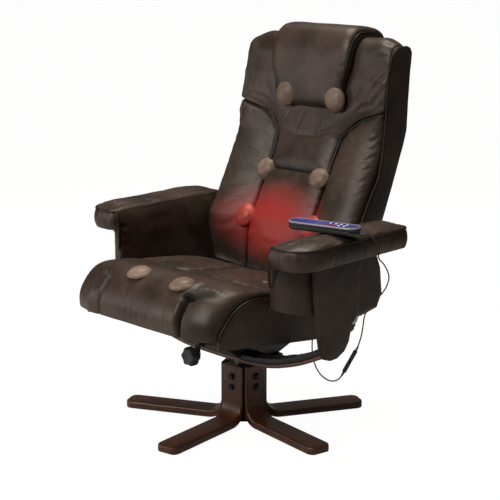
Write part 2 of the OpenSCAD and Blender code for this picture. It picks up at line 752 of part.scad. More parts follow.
// Height of the seat cushion over its seam line at a place across and along it
function seat_height(x, t, c, half) = let (
    outer = abs(x) > c,
    u = outer ? (2 * abs(x) - c - half) / (half - c) : x / c,
    at = crease_share - crease_lean_share * (abs(x) - c) / half,
    dip = outer ? exp(-pow((t - at) / crease_w_share, 2)) * min(1, 2 * (half - abs(x)) / half) : 0,
    bow = seat_bow * curve(seat_bow_shares, t) * (1 - pow(abs(x) / half, 8)),
    puff = seat_puff * curve(seat_puff_shares, t))
    bow + puff * pillow(u) * (1 - 0.9 * dip);

module seat_cushion() {
    half = seat_in_x - soft_gap;
    rings = [for (i = [0 : seat_rows]) let (
        t = i / seat_rows,
        under = seat_under[i],
        seam = curve([for (p = seat_seam_shares) seat_yz(p)], t),
        out = unit(seam - under),
        c = half * curve(seat_channel_shares, t),
        xs = seat_xs(c, half, 9))
        pad_ring(under + out * soft_gap, out, xs,
            [for (x = xs) norm(seam - under) - soft_gap + seat_height(x, t, c, half)])];
    color("#332a26") loft(rings);
}

// Front view of the back, with its rounded upper corners
module back_front_view() {
    top = back_base_z + back_rise;
    rotate([90, 0, 0]) linear_extrude(4 * back_run, center = true) {
        translate([-back_half_w, 0]) square([2 * back_half_w, top - back_corner_r]);
        translate([back_corner_r - back_half_w, 0]) square([2 * (back_half_w - back_corner_r), top]);
        for (s = [-1, 1]) translate([s * (back_half_w - back_corner_r), top - back_corner_r])
            circle(back_corner_r, $fn = 64);
    }
}

module back_side(s) {
    color("#2e2622") intersection() {
        to_side(s) side_plate([for (p = back_front_shares) back_yz(p),
            for (p = back_rear_shares) back_yz(p)], back_in_x, back_half_w);
        back_front_view();
    }
}

module back_rear_panel() {
    rear = [for (p = back_rear_shares) back_yz(p)];
    cap = back_yz([cap_front_share, 1]);
    color("#2e2622") intersection() {
        side_plate(concat([cap], rear, [for (i = [len(rear) - 1 : -1 : 0])
            rear[i] - [side_t, i == 0 ? side_t - over : 0]], [cap - [0, side_t - over]]),
            soft_gap - back_in_x, back_in_x - soft_gap);
        back_front_view();
    }
}

// Puts a flat thing against the underside of the back pads, at a share of the rise
module behind_pads(s, gap) {
    a = face_slope(s);
    translate([0, face_y(s) + pad_depth(s), back_z(s)]) rotate([-a, 0, 0])
        translate([0, gap, 0]) children();
}

module slat(s, motor_x) {
    behind_pads(s, slat_gap) difference() {
        translate([soft_gap - back_in_x, 0, -slat_h / 2])
            cube([2 * (back_in_x - soft_gap), slat_t, slat_h]);
        if (motor_x > 0) for (k = [-1, 1]) translate([k * motor_x, -over, 0])
            rotate([-90, 0, 0]) cylinder(r = disc_r + hole_gap, h = slat_t + 2 * over, $fn = 64);
    }
}

module back_slats() {
    color("#b08a5c") {
        slat(slat_shares[0], 0);
        slat(slat_shares[1], lumbar_motor_x);
        slat(slat_shares[2], middle_motor_x);
        slat(slat_shares[3], 0);
        slat(slat_shares[4], head_motor_x);
        slat(slat_shares[5], 0);
    }
}

module back_motors(s, motor_x) {
    color("#2f3033") for (k = [-1, 1]) behind_pads(s, slat_gap) translate([k * motor_x, 0, 0])
        rotate([90, 0, 0]) motor();
}

module hinge_plates() {
    x = back_in_x - hinge_plate_t;
    color("#8f9196") for (s = [-1, 1]) to_side(s) difference() {
        union() {
            translate([x, hinge_y, pivot_z]) rotate([0, 90, 0])
                cylinder(r = hinge_plate_w / 2, h = hinge_plate_t, $fn = 48);
            translate([x, hinge_y, pivot_z])
                cube([hinge_plate_t, hinge_plate_neck, hinge_plate_h]);
        }
        translate([x - over, hinge_y, pivot_z]) rotate([0, 90, 0])
            cylinder(r = pin_r + turn_gap, h = hinge_plate_t + 2 * over, $fn = 48);
    }
}

module lumbar_heater() {
    rows = [for (s = levels(lower_end_share, middle_seam_share, lower_rows))
        if (s > heater_low_share && s < heater_high_share)
            [face_y(s) + pad_depth(s), back_z(s)]];
    n = len(rows) - 1;
    color("#7a3b30") side_plate(concat([for (i = [0 : n]) rows[i] + [soft_gap, 0]],
        [for (i = [n : -1 : 0]) rows[i] + [soft_gap + heater_t, 0]]),
        -heater_half_w, heater_half_w);
}

// Pad of the back between two heights, with its sides and its edge thickness given as lists
module back_pad(low, high, left, right, edge_left, edge_right, cells, rows) {
    rings = [for (i = [0 : rows]) let (
        t = i / rows,
        s = mix(low, high, t),
        depth = pad_depth(s),
        xs = [for (u = steps(cells)) mix(left[i], right[i], u)])
        pad_ring([face_y(s) + depth, back_z(s)], [-1, 0], xs,
            [for (u = steps(cells)) let (e = mix(edge_left[i], edge_right[i], u))
                e + (depth - e) * pillow(2 * u - 1) * pillow(2 * t - 1)])];
    loft(rings);
}

function levels(low, high, rows) = [for (t = steps(rows)) mix(low, high, t)];

module lower_pad() {
    ss = levels(lower_end_share, middle_seam_share, lower_rows);
    wide = [for (s = ss) channel_x(s) - soft_gap];
    edge = [for (s = ss) pad_depth(s) - seam_d];
    color("#332a26") back_pad(lower_end_share, middle_seam_share, -wide, wide, edge, edge,
        10, lower_rows);
}

module upper_pad() {
    rows = 20;
    low = middle_seam_share + soft_gap / back_rise;
    ss = levels(low, upper_end_share, rows);
    wide = [for (s = ss) min(channel_x(s), back_in_x) - soft_gap];
    edge = [for (s = ss) let (d = pad_depth(s))
        mix(d - seam_d, d - seam_d / 3, lookup(s, [[bolster_end_share - 0.05, 0],
            [bolster_end_share, 1]]))];
    color("#332a26") back_pad(low, upper_end_share, -wide, wide, edge, edge, 12, rows);
}

module bolster(k) {
    rows = 18;
    ss = levels(lower_end_share, bolster_end_share, rows);
    inner = [for (s = ss) channel_x(s) + bolster_gap];
    outer = [for (s = ss) back_in_x - soft_gap];
    edge_in = [for (s = ss) pad_depth(s) - seam_d];
    edge_out = [for (s = ss) max(side_t / 2, face_y(s) + pad_depth(s) - piping_y(s) - side_t)];
    color("#332a26") to_side(k) back_pad(lower_end_share, bolster_end_share, inner, outer,
        edge_in, edge_out, 8, rows);
}

module headrest() {
    cells = 12;
    rings = [for (t = steps(24)) let (
        under = curve([for (p = head_under_shares) back_yz(p)], t),
        way = curve(head_edge_shares, t) * head_edge,
        out = unit(way),
        half = back_half_w * curve(head_half_shares, t),
        puff = head_edge * curve(head_puff_shares, t))
        pad_ring(under + out * soft_gap, out, [for (u = steps(cells)) mix(-half, half, u)],
            [for (u = steps(cells)) norm(way) + puff * pillow(2 * u - 1)])];
    color("#332a26") loft(rings);
}

module at_handset() {
    translate([handset_x, handset_y, handset_z]) rotate([0, 0, handset_turn]) children();
}

// Plan of the handset, drawn in from its outline by a margin
module handset_plan(margin) {
    r = handset_w / 2 - margin;
    half = handset_l / 2 - handset_w / 2;
    square([2 * half, 2 * r], center = true);
    for (s = [-1, 1]) translate([s * half, 0]) circle(r, $fn = 64);
}

module handset_casing() {
    color("#17171b") at_handset() difference() {
        union() {
            linear_extrude(casing_h) handset_plan(rim_wall / 2);
            translate([handset_l / 2 - relief_l, 0, casing_h / 2]) rotate([0, 90, 0])
                cylinder(r = relief_r, h = 2 * relief_l, $fn = 32);
        }
        translate([0, 0, casing_floor]) linear_extrude(casing_h) handset_plan(2 * rim_wall);
    }
}

module handset_rim() {
    color("#8d8e96") at_handset() translate([0, 0, casing_h]) difference() {
        linear_extrude(rim_h) handset_plan(0);
        translate([0, 0, -over]) linear_extrude(rim_h + 2 * over) handset_plan(rim_wall);
    }
}

function key_at(k) = [key_first_x + floor(k / 2) * key_pitch_x, (k % 2 - 0.5) * key_pitch_y];

module handset_panel() {
    color("#3c4188") at_handset() translate([0, 0, casing_h + rim_h - panel_drop - panel_t])
        difference() {
            linear_extrude(panel_t) handset_plan(rim_wall);
            translate([0, 0, panel_t - window_deep]) linear_extrude(panel_t) intersection() {
                handset_plan(rim_wall + window_margin);
                translate([window_shares[0] * handset_l, -handset_w / 2])
                    square([(window_shares[1] - window_shares[0]) * handset_l, handset_w]);
            }
            for (k = [0 : 7]) translate(concat(key_at(k), -over))
                cylinder(r = key_r + key_gap, h = panel_t + 2 * over, $fn = 32);
        }
}

module key(k) {
    top = casing_h + rim_h - panel_drop + key_proud;
    color(k == 1 || k == 3 ? "#c8323c" : "#e8e8f0") at_handset()
        translate(concat(key_at(k - 1), top - key_h)) {
            cylinder(r = key_r, h = key_h, $fn = 32);
            cylinder(r = key_r + 2 * key_gap, h = panel_t / 2, $fn = 32);
        }
}

// Round tube along a list of points, with one ring of eight at each step
module tube(route, rings, r) {
    pts = [for (t = steps(rings)) curve(route, t)];
    n = len(pts) - 1;
    loft([for (i = [0 : n]) let (
        d = unit(pts[min(i + 1, n)] - pts[max(i - 1, 0)]),
        a = unit(cross(d, [0, 1, 0.2])),
        b = cross(d, a))
        [for (j = [0 : 7]) pts[i] + r * (cos(45 * j) * a + sin(45 * j) * b)]]);
}

module cord_to_handset() {
    color("#101012") tube(cord_a, cord_rings_a, cord_d / 2);
}

module cord_to_seat() {
    color("#101012") tube(cord_b, cord_rings_b, cord_d / 2);
}

module cord_connector() {
    from = cord_a[len(cord_a) - 1];
    to = cord_b[0];
    way = to - from;
    long = norm(way);
    body = long - 2 * connector_neck_l;
    color("#0f0f11") translate(from) rotate([0, acos(way.z / long), atan2(way.y, way.x)]) {
        cylinder(r1 = cord_d / 2, r2 = connector_neck_r, h = connector_neck_l, $fn = 32);
        translate([0, 0, connector_neck_l]) cylinder(r = connector_r, h = body / 2 - face_gap / 2,
            $fn = 32);
        translate([0, 0, connector_neck_l]) cylinder(r = connector_neck_r, h = body, $fn = 32);
        translate([0, 0, connector_neck_l + body / 2 + face_gap / 2])
            cylinder(r = connector_r, h = body / 2 - face_gap / 2, $fn = 32);
        translate([0, 0, long - connector_neck_l])
            cylinder(r1 = connector_neck_r, r2 = cord_d / 2, h = connector_neck_l, $fn = 32);
    }
}

leg(1);  // leg_1
leg(2);  // leg_2
leg(3);  // leg_3
leg(4);  // leg_4
leg(5);  // leg_5
hub_post();
leg_bolts();
foot_glides();
thrust_bearing();
spindle();
mechanism_frame();
crossbar();
slide_rails();
recline_pins();
arm_uprights();
arm_studs();
arm_box(-1);  // arm_box_left
arm_box(1);  // arm_box_right
arm_leaf(-1);  // arm_leaf_left
arm_leaf(1);  // arm_leaf_right
arm_pad(-1);  // arm_pad_left
arm_pad(1);  // arm_pad_right
knob();
knob_screw();
control_box();
seat_runners();
seat_battens();
seat_board();
seat_side(-1);  // seat_side_left
seat_side(1);  // seat_side_right
seat_motors();
seat_cushion();
back_side(-1);  // back_side_left
back_side(1);  // back_side_right
back_rear_panel();
back_slats();
hinge_plates();
lumbar_heater();
back_motors(slat_shares[1], lumbar_motor_x);  // lumbar_motors
back_motors(slat_shares[2], middle_motor_x);  // middle_motors
back_motors(slat_shares[4], head_motor_x);  // head_motors
lower_pad();
upper_pad();
bolster(-1);  // bolster_left
bolster(1);  // bolster_right
headrest();
handset_casing();
handset_rim();
handset_panel();
key(1);  // key_1
key(2);  // key_2
key(3);  // key_3
key(4);  // key_4
key(5);  // key_5
key(6);  // key_6
key(7);  // key_7
key(8);  // key_8
cord_to_handset();
cord_connector();
cord_to_seat();
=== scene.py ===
"""Dresses a reclining swivel armchair: leather pads, piping, bent wood legs, handset and cords."""

import math

import bpy
import numpy as np
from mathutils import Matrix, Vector


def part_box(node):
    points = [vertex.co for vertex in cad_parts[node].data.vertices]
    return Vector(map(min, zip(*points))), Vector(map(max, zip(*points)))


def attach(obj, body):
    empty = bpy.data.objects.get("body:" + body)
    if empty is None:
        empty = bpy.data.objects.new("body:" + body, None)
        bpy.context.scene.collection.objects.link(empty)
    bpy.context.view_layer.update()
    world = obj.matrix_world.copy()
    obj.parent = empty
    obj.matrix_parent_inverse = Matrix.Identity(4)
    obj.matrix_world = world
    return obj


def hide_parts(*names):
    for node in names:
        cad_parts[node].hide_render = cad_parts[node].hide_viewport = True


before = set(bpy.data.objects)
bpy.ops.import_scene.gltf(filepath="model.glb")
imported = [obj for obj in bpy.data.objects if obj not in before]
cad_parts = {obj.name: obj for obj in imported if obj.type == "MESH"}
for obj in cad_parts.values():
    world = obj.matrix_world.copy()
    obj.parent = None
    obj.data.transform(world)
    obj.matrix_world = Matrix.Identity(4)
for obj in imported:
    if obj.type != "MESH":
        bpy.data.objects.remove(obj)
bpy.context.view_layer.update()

bl_info = {
    "name": "Reclining armchair",
    "version": (1, 0, 0),
    "blender": (4, 5, 0),
    "location": "3D View > Sidebar > Armchair",
    "description": "Builds the upholstery, wood, handset and cords of a reclining armchair",
    "category": "Object",
}

MM = 0.001

# Sizes that the pieces share with the part's source, in millimetres

LEG = {"reach": 336, "wide": 66, "thick": 19, "bend": 38, "top": 162, "tip": 22, "lift": 3,
       "flat": 35.4, "turn": -8.6, "gap": 1.5}
SEAT = {"half": 244, "outer": 252, "front": -325, "run": 423, "base": 262, "rise": 151,
        "bow": 38, "puff": 22}
BACK = {"half": 256, "outer": 264, "front": 103, "run": 248, "base": 345, "rise": 641,
        "corner": 36, "pad": 44, "seam": 20}
ARM = {"in_x": 293, "wide": 108, "front": -204, "long": 392, "low": 501, "climb": 7,
       "high": 49, "crown": 16, "corner": 62, "drop": 240, "box_x": 281, "box_w": 77,
       "box_front": -188, "leaf_x": 364, "leaf_t": 12}
BAR = {"y": -60, "wide": 50, "thick": 25, "mid_z": 202.5, "end": 358, "climb": 78}

SEAT_SIDE = [(0, 0.32), (0, 0.457), (0.042, 0.656), (0.129, 0.887), (0.185, 0.965),
             (0.242, 1), (0.388, 0.98), (0.588, 0.914), (1, 0.748), (1, 0.007),
             (0.746, 0.073), (0.266, 0.232)]
SEAT_UNDER = [(0.059, 0.477), (0.106, 0.55), (0.188, 0.629), (0.266, 0.629),
              (0.388, 0.583), (0.588, 0.517), (0.788, 0.444), (0.991, 0.371)]
SEAT_SEAM = [(0, 0.47), (0.042, 0.656), (0.129, 0.887), (0.242, 1),
             (0.388, 0.98), (0.588, 0.914), (0.788, 0.834), (0.991, 0.748)]
SEAT_BOW = [1, 1.05, 0.9, 0.4, 0.26, 0.26, 0.21, 0.1]
SEAT_PUFF = [0.25, 0.75, 1, 0.85, 0.82, 0.82, 0.82, 0.45]
BACK_FRONT = [(0.149, 0), (0.153, 0.086), (0.157, 0.164), (0.181, 0.242), (0.282, 0.34),
              (0.41, 0.425), (0.52, 0.493), (0.585, 0.604), (0.617, 0.724), (0.621, 0.794),
              (0.641, 0.902), (0.706, 0.991)]
BACK_REAR = [(0.302, 0), (0.331, 0.055), (0.411, 0.164), (0.573, 0.318), (0.73, 0.462),
             (0.895, 0.624), (0.931, 0.671), (0.944, 0.785), (0.965, 0.9), (1, 1)]
BACK_FACE = [(0, 0.051), (0.004, 0.133), (0.016, 0.211), (0.052, 0.273), (0.153, 0.335),
             (0.258, 0.413), (0.339, 0.476), (0.44, 0.554), (0.52, 0.624), (0.56, 0.679),
             (0.585, 0.718), (0.605, 0.757), (0.633, 0.866), (0.702, 0.988)]
BACK_CHANNEL = [(0.051, 0.418), (0.538, 0.418), (0.627, 0.44), (0.671, 0.541),
                (0.71, 0.672), (0.75, 0.96), (0.96, 0.96), (0.988, 0.91)]
HEAD_UNDER = [(0.599, 0.745), (0.603, 0.772), (0.624, 0.85), (0.639, 0.913),
              (0.69, 0.982), (0.762, 1.011), (0.88, 1.016), (1.012, 1.016), (1.03, 0.963),
              (1.03, 0.913), (1.03, 0.889)]
HEAD_EDGE = [(-0.3, -0.1), (-0.8, 0), (-1, 0), (-1, 0.1), (-1.05, 0.5), (-0.6, 1.1),
             (0.2, 1.15), (0.8, 0.55), (1, 0), (0.9, -0.1), (0.3, -0.05)]
HEAD_HALF = [0.39, 0.42, 0.455, 0.5, 0.52, 0.52, 0.52, 0.52, 0.515, 0.505, 0.49]
HEAD_PUFF = [0, 0.35, 0.4, 0.45, 0.6, 0.95, 0.85, 0.75, 0.65, 0.35, 0]
BOX_SIDE = [(0, 0), (0, 0.43), (0.09, 0.48), (0.6, 0.665), (0.69, 0.68),
            (0.84, 0.64), (0.887, 0.5), (0.87, 0.22), (0.815, 0)]
BOX_NOSE = [(0, 0), (0.3, 0.06), (0.6, 0.35), (0.8, 0.95), (1, 1.7)]
SKIRT_FOOT = [(0, 0.43), (0.09, 0.48), (0.6, 0.665), (0.69, 0.68), (0.84, 0.68), (0.9, 0.66), (1, 0.62)]
LEAF_SIDE = [(0.19, 0), (0.203, 0.332), (0.233, 0.712), (0.255, 0.892), (0.29, 0.987),
             (0.345, 1.02), (0.407, 1.017), (0.475, 0.962), (0.515, 0.872), (0.535, 0.742),
             (0.545, 0.692), (0.568, 0.662), (0.606, 0.572), (0.616, 0)]
BAR_LINE = [(0, 0), (0.3, 0.025), (0.5, 0.12), (0.7, 0.37), (0.86, 0.66), (1.06, 1.12)]
CORD_A = [(422.5, -18, 575), (430, -16, 575), (429, 4, 571), (413, 38, 553),
          (403.5, 68, 519), (403, 67, 503), (392, 89, 487), (375, 122, 470), (362, 153, 444),
          (352, 171, 422), (346, 171, 401), (340, 166, 386), (332, 153, 368), (326, 132, 349),
          (322, 115, 329), (325, 106, 306), (330, 94, 281), (331, 79, 253)]
CORD_B = [(280, 79, 168), (268, 79, 154), (248, 79, 144), (226, 79, 144), (204, 79, 153),
          (187, 79, 171), (177, 79, 195), (174, 79, 222), (174, 80, 242), (174, 80, 258)]

# Channels and creases of the seat, as points across (X) and along (Y) it, in millimetres
# (in front of EDGE_Y the second number is a height down the front edge)
EDGE_Y, EDGE_FOOT, EDGE_DEPTH = -352, -390, 60
SEAT_GROOVE = [(150, -390), (147, -358), (141, -340), (139, -322), (145, -302), (160, -286),
               (185, -274), (222, -270)]
SEAT_MOUND = [(244, -158), (200, -168), (130, -180), (62, -183), (38, -160), (27, -110),
              (30, -40), (48, 30), (58, 94)]
# Creases: line, side, depth, width, and how far and how wide the pillows fall to it
SEAT_CREASES = [(SEAT_GROOVE, 1, 24.0, 4.6, 0.5, 16), (SEAT_GROOVE, -1, 3.5, 2.6, 0.12, 14),
                (SEAT_MOUND, 1, 3.6, 5.0, 0.4, 40), (SEAT_MOUND, -1, 4.2, 4.6, 0.5, 44)]

# Soft folds of the leather, each with its points in millimetres, its depth and its width.
# Seat: across (X) and along the cushion
SEAT_FOLDS = [
    ([(60, 300), (100, 285), (150, 292)], 2.6, 6),
    ([(-90, 250), (-120, 262), (-170, 255)], 2.4, 6),
    ([(150, 236), (170, 244), (210, 240)], 3.2, 5),
    ([(176, 228), (196, 250), (220, 262)], 2.8, 5),
    ([(-150, 236), (-175, 246), (-215, 240)], 3.0, 5),
    ([(20, 330), (60, 350), (120, 346)], 2.2, 7),
    ([(-30, 330), (-80, 348), (-130, 340)], 2.2, 7),
    ([(40, 196), (75, 205), (110, 198)], 1.8, 6),
    ([(-60, 6), (-62, 24), (-60, 40)], 0.9, 3.5),
    ([(-38, 4), (-40, 20), (-37, 34)], 0.8, 3.5),
    ([(-15, 6), (-17, 22), (-14, 36)], 0.8, 3.5),
    ([(8, 5), (6, 20), (9, 34)], 0.8, 3.5),
    ([(42, 6), (40, 24), (44, 42)], 0.8, 4),
    ([(100, 4), (104, 26), (100, 46)], 0.9, 4),
]
# Back: across (X) and up (Z). The bolster's are mirrored on the left
LOWER_PAD_FOLDS = [
    ([(-70, 470), (-20, 462), (60, 470)], 1.6, 9),
    ([(-60, 600), (0, 612), (70, 604)], 1.5, 8),
]
WING_FOLDS = [
    ([(-12, 828), (-30, 770), (-50, 700)], 1.5, 4),
    ([(48, 820), (42, 770), (36, 720)], 1.2, 4),
    ([(-70, 812), (-80, 790), (-92, 760)], 1.4, 4),
    ([(150, 812), (186, 836), (236, 842)], 2.6, 5),
    ([(148, 836), (176, 866), (192, 900)], 1.8, 6),
    ([(206, 838), (232, 866), (244, 900)], 2.0, 6),
    ([(246, 930), (226, 900), (214, 872)], 2.4, 6),
    ([(-150, 814), (-185, 834), (-236, 842)], 2.2, 5),
    ([(-146, 838), (-170, 868), (-186, 900)], 1.2, 6),
    ([(-240, 850), (-226, 872), (-222, 905)], 0.8, 7),
    ([(-140, 690), (-120, 660), (-80, 655)], 1.8, 5),
    ([(140, 690), (122, 662), (84, 655)], 2.2, 5),
    ([(-40, 640), (0, 632), (44, 640)], 1.5, 8),
]
BOLSTER_FOLDS = [
    ([(120, 664), (158, 686), (206, 700)], 1.6, 5),
    ([(124, 634), (160, 644), (212, 640)], 1.3, 5),
    ([(118, 600), (156, 604), (206, 590)], 1.2, 5),
    ([(122, 565), (160, 560), (196, 540)], 1.1, 6),
    ([(140, 715), (176, 724), (212, 722)], 0.9, 5),
    ([(244, 716), (226, 702), (206, 700)], 2.0, 4.5),
    ([(246, 764), (228, 750), (210, 750)], 2.0, 4.5),
    ([(246, 690), (228, 676), (210, 674)], 1.8, 4),
    ([(246, 740), (230, 728), (212, 726)], 1.6, 4),
    ([(246, 660), (226, 646), (210, 648)], 1.6, 4.5),
    ([(246, 620), (226, 610), (210, 612)], 1.4, 5),
    ([(140, 500), (180, 488), (226, 500)], 1.4, 7),
]
# Panels of the back: along (Y) and up (Z)
BACK_SIDE_FOLDS = [
    ([(215, 840), (240, 834), (262, 838)], 1.4, 6),
    ([(150, 620), (180, 606), (200, 600)], 1.2, 8),
]
# Arms: the hanging leather along (Y) and up (Z), the pad's top across (X) and along (Y)
SKIRT_FOLDS = [
    ([(-200, 524), (-184, 512), (-158, 508)], 6.0, 4.0),
    ([(-196, 498), (-176, 486), (-146, 482)], 5.0, 4.0),
    ([(-190, 470), (-172, 462), (-150, 462)], 3.0, 5.0),
    ([(-198, 512), (-188, 500), (-176, 497)], 4.0, 3.0),
    ([(-120, 520), (-60, 510), (20, 516)], 1.4, 12.0),
    ([(40, 470), (90, 440), (130, 400)], 2.0, 12.0),
]
ARM_TOP_FOLDS = [
    ([(312, -186), (318, -160), (316, -120)], 3.4, 7),
    ([(350, -160), (342, -128), (350, -96)], 3.4, 5),
    ([(366, -150), (356, -120), (362, -92)], 3.0, 5),
    ([(330, -122), (334, -100), (330, -80)], 2.6, 5),
    ([(300, -60), (330, -66), (345, -40)], 1.8, 8),
    ([(330, 60), (352, 68), (376, 60)], 2.2, 7),
    ([(326, 110), (350, 118), (380, 108)], 1.8, 8),
]


# Small mathematics

def catmull(points, t):
    """Point on the smooth curve through evenly spaced points, for t from 0 to 1."""
    p = np.atleast_2d(np.array(points, float).T).T
    n = len(p) - 1
    t = np.atleast_1d(t)
    k = np.minimum(np.floor(t * n).astype(int), n - 1)
    f = (t * n - k)[:, None]
    a, b, c, d = p[np.maximum(k - 1, 0)], p[k], p[k + 1], p[np.minimum(k + 2, n)]
    return (2 * b + (c - a) * f + (2 * a - 5 * b + 4 * c - d) * f ** 2
            + (3 * b - a - 3 * c + d) * f ** 3) / 2


def look(s, pairs):
    """Straight interpolation in a table of (key, value) pairs."""
    return np.interp(s, [p[0] for p in pairs], [p[1] for p in pairs])


def swap(pairs):
    """The table with its two columns exchanged."""
    return [(b, a) for a, b in pairs]


def unit(v):
    """Vectors scaled to length 1."""
    return v / np.maximum(np.linalg.norm(v, axis=-1, keepdims=True), 1e-12)


def pillow(u, power=2.6, root=0.55):
    """Share of full height from the middle of a pillow (0) to its seam (1)."""
    return np.maximum(0, 1 - np.minimum(1, np.abs(u)) ** power) ** root


def bump(d, width):
    """Bell-shaped share: 1 at distance 0, near 0 beyond two widths."""
    return np.exp(-(d / width) ** 2)


def smooth(low, high, x):
    """Share that rises from 0 to 1 between two limits, or falls when they are reversed."""
    t = np.clip((x - low) / (high - low), 0, 1)
    return t * t * (3 - 2 * t)


def spread(n, tight=0.35):
    """n + 1 places from -1 to 1, a little closer together near the ends."""
    t = np.linspace(-1, 1, n + 1)
    return (1 - tight) * t + tight * np.sin(t * math.pi / 2)


def ripple(a, seed, wave):
    """Uneven ripples along a length a, from a sum of sines that the seed shifts."""
    rng = np.random.default_rng(seed)
    out = np.zeros_like(a, float)
    for k in range(5):
        out += math.sqrt(1 / (1 + k)) * np.sin(
            2 * math.pi * a / (wave * rng.uniform(0.5, 1.9)) + rng.uniform(0, 6.28))
    return out / 2.2


def blotch(x, y, seed, wave):
    """Slow uneven swell over a surface."""
    rng = np.random.default_rng(seed)
    out = np.zeros_like(x, float)
    for _ in range(7):
        turn, size = rng.uniform(0, math.pi), wave * rng.uniform(0.6, 1.8)
        out += np.sin(2 * math.pi * (x * math.cos(turn) + y * math.sin(turn)) / size
                      + rng.uniform(0, 6.28))
    return out / 3.0


def nearest(x, y, line):
    """Distance to a polyline in a plane, and how far along it the nearest point lies."""
    p = np.stack([x.ravel(), y.ravel()], 1)
    line = np.array(line, float)
    best, at, run = np.full(len(p), 1e9), np.zeros(len(p)), 0.0
    for a, b in zip(line[:-1], line[1:]):
        d = b - a
        long = math.hypot(*d)
        t = np.clip((p - a) @ d / long ** 2, 0, 1)
        r = np.linalg.norm(p - a - t[:, None] * d, axis=1)
        closer = r < best
        best[closer], at[closer] = r[closer], (run + t * long)[closer]
        run += long
    return best.reshape(x.shape), at.reshape(x.shape), run


def folds(x, y, lines):
    """Depth of soft folds: each is (points, depth, width), fading at both of its ends."""
    out = np.zeros_like(x, float)
    for points, depth, width in lines:
        d, at, run = nearest(x, y, points)
        fade = smooth(0, 0.3 * run, at) * smooth(0, 0.45 * run, run - at)
        out += depth * fade * (bump(d, width) - 0.45 * bump(d - 2.1 * width, width))
    return out


# Meshes

def grid_quads(rows, cols, first=0, wrap=False):
    """Four-sided faces between the points of a grid, whose rows may close on themselves."""
    i, j = np.meshgrid(np.arange(rows - 1), np.arange(cols if wrap else cols - 1), indexing="ij")
    k = (j + 1) % cols
    a, b = i * cols + j, i * cols + k
    return np.stack([a, b, b + cols, a + cols], -1).reshape(-1, 4) + first


def new_object(name, data):
    """Object with the given data, linked to the scene."""
    obj = bpy.data.objects.new(name, data)
    bpy.context.scene.collection.objects.link(obj)
    return obj


def volume(points, quads):
    """Signed volume inside a skin of four-sided faces, six times over."""
    p = points[quads]
    tris = np.concatenate([p[:, [0, 1, 2]], p[:, [0, 2, 3]]])
    return np.einsum("ij,ij->i", tris[:, 0], np.cross(tris[:, 1], tris[:, 2])).sum()


def store(mesh, key, value):
    """Keeps a number or a vector at every point of a mesh, for its material to read."""
    value = np.asarray(value, np.float32).ravel()
    plain = len(value) == len(mesh.vertices)
    layer = mesh.attributes.new(key, "FLOAT" if plain else "FLOAT_VECTOR", "POINT")
    layer.data.foreach_set("value" if plain else "vector", value)


def make_mesh(name, points, quads, values=None, caps=(), turn=True):
    """Smooth mesh object from points in millimetres, its faces turned outwards if asked."""
    points = np.asarray(points, float).reshape(-1, 3)
    quads = np.asarray(quads)
    if turn and volume(points - points.mean(0), quads) < 0:
        quads = quads[:, ::-1]
        caps = [cap[::-1] for cap in caps]
    mesh = bpy.data.meshes.new(name)
    faces = [tuple(int(v) for v in face) for face in (*quads, *caps)]
    mesh.from_pydata((points * MM).tolist(), [], faces)
    mesh.validate()
    mesh.shade_smooth()
    for key, value in (values or {}).items():
        store(mesh, key, value)
    return new_object(name, mesh)


def shell(top, low):
    """Points and faces of a closed pad between a top and a lower grid of the same size."""
    n, m = top.shape[:2]
    points = np.concatenate([top.reshape(-1, 3), low.reshape(-1, 3)])
    index = np.arange(n * m).reshape(n, m)
    ring = np.concatenate([index[0], index[1:, -1], index[-1, -2::-1], index[-2:0:-1, 0]])
    wall = np.stack([ring, ring + n * m, np.roll(ring, -1) + n * m, np.roll(ring, -1)], 1)
    quads = np.concatenate([grid_quads(n, m), grid_quads(n, m, n * m)[:, ::-1], wall])
    return points, quads


def above(X, line, way, height):
    """Points over places X of a side-view line (Y, Z), at some height along its own directions."""
    return np.stack([X, line[:, :1] + way[:, :1] * height, line[:, 1:] + way[:, 1:] * height], -1)


def on_top(value, below):
    """Values of a shell's points: its own over the top grid, one value over the lower grid."""
    return np.concatenate([value.ravel(), np.full(value.size, float(below))])


def end_caps(n, m):
    """Flat faces that close the first and the last of n rings of m points."""
    return [list(range(m))[::-1], list(range((n - 1) * m, n * m))]


def rings_mesh(name, rings, values=None):
    """Closed mesh through rings with the same number of points, with a flat cap at each end."""
    rings = np.asarray(rings, float)
    n, m = rings.shape[:2]
    return make_mesh(name, rings, grid_quads(n, m, wrap=True), values, end_caps(n, m))


def tube_rings(line, radius, sides=10):
    """Rings of a round tube along a line of points, with frames that don't twist."""
    line = np.asarray(line, float)
    radius = np.broadcast_to(np.asarray(radius, float), (len(line),))
    along = unit(np.gradient(line, axis=0))
    a = unit(np.cross(along[0], [0.3, 0.5, 0.81]))
    angle = np.linspace(0, 2 * math.pi, sides, endpoint=False)[:, None]
    rings = []
    for centre, way, r in zip(line, along, radius):
        a = unit(a - way * (a @ way))
        b = np.cross(way, a)
        rings.append(centre + r * (np.cos(angle) * a + np.sin(angle) * b))
    return np.array(rings)


def run_of(line):
    """Length along a polyline at each of its points."""
    return np.concatenate([[0], np.cumsum(np.linalg.norm(np.diff(line, axis=0), axis=1))])


def even(line, n):
    """n + 1 evenly spaced points along a polyline."""
    line = np.array(line, float)
    run = run_of(line)
    at = np.linspace(0, run[-1], n + 1)
    return np.stack([np.interp(at, run, line[:, k]) for k in range(line.shape[1])], 1)


def resample(line, step, smooth_it=True):
    """Evenly spaced points along a line, smoothed through its own points."""
    line = np.array(line, float)
    if smooth_it:
        line = catmull(line, np.linspace(0, 1, 24 * len(line)))
    return even(line, max(3, int(run_of(line)[-1] / step)))


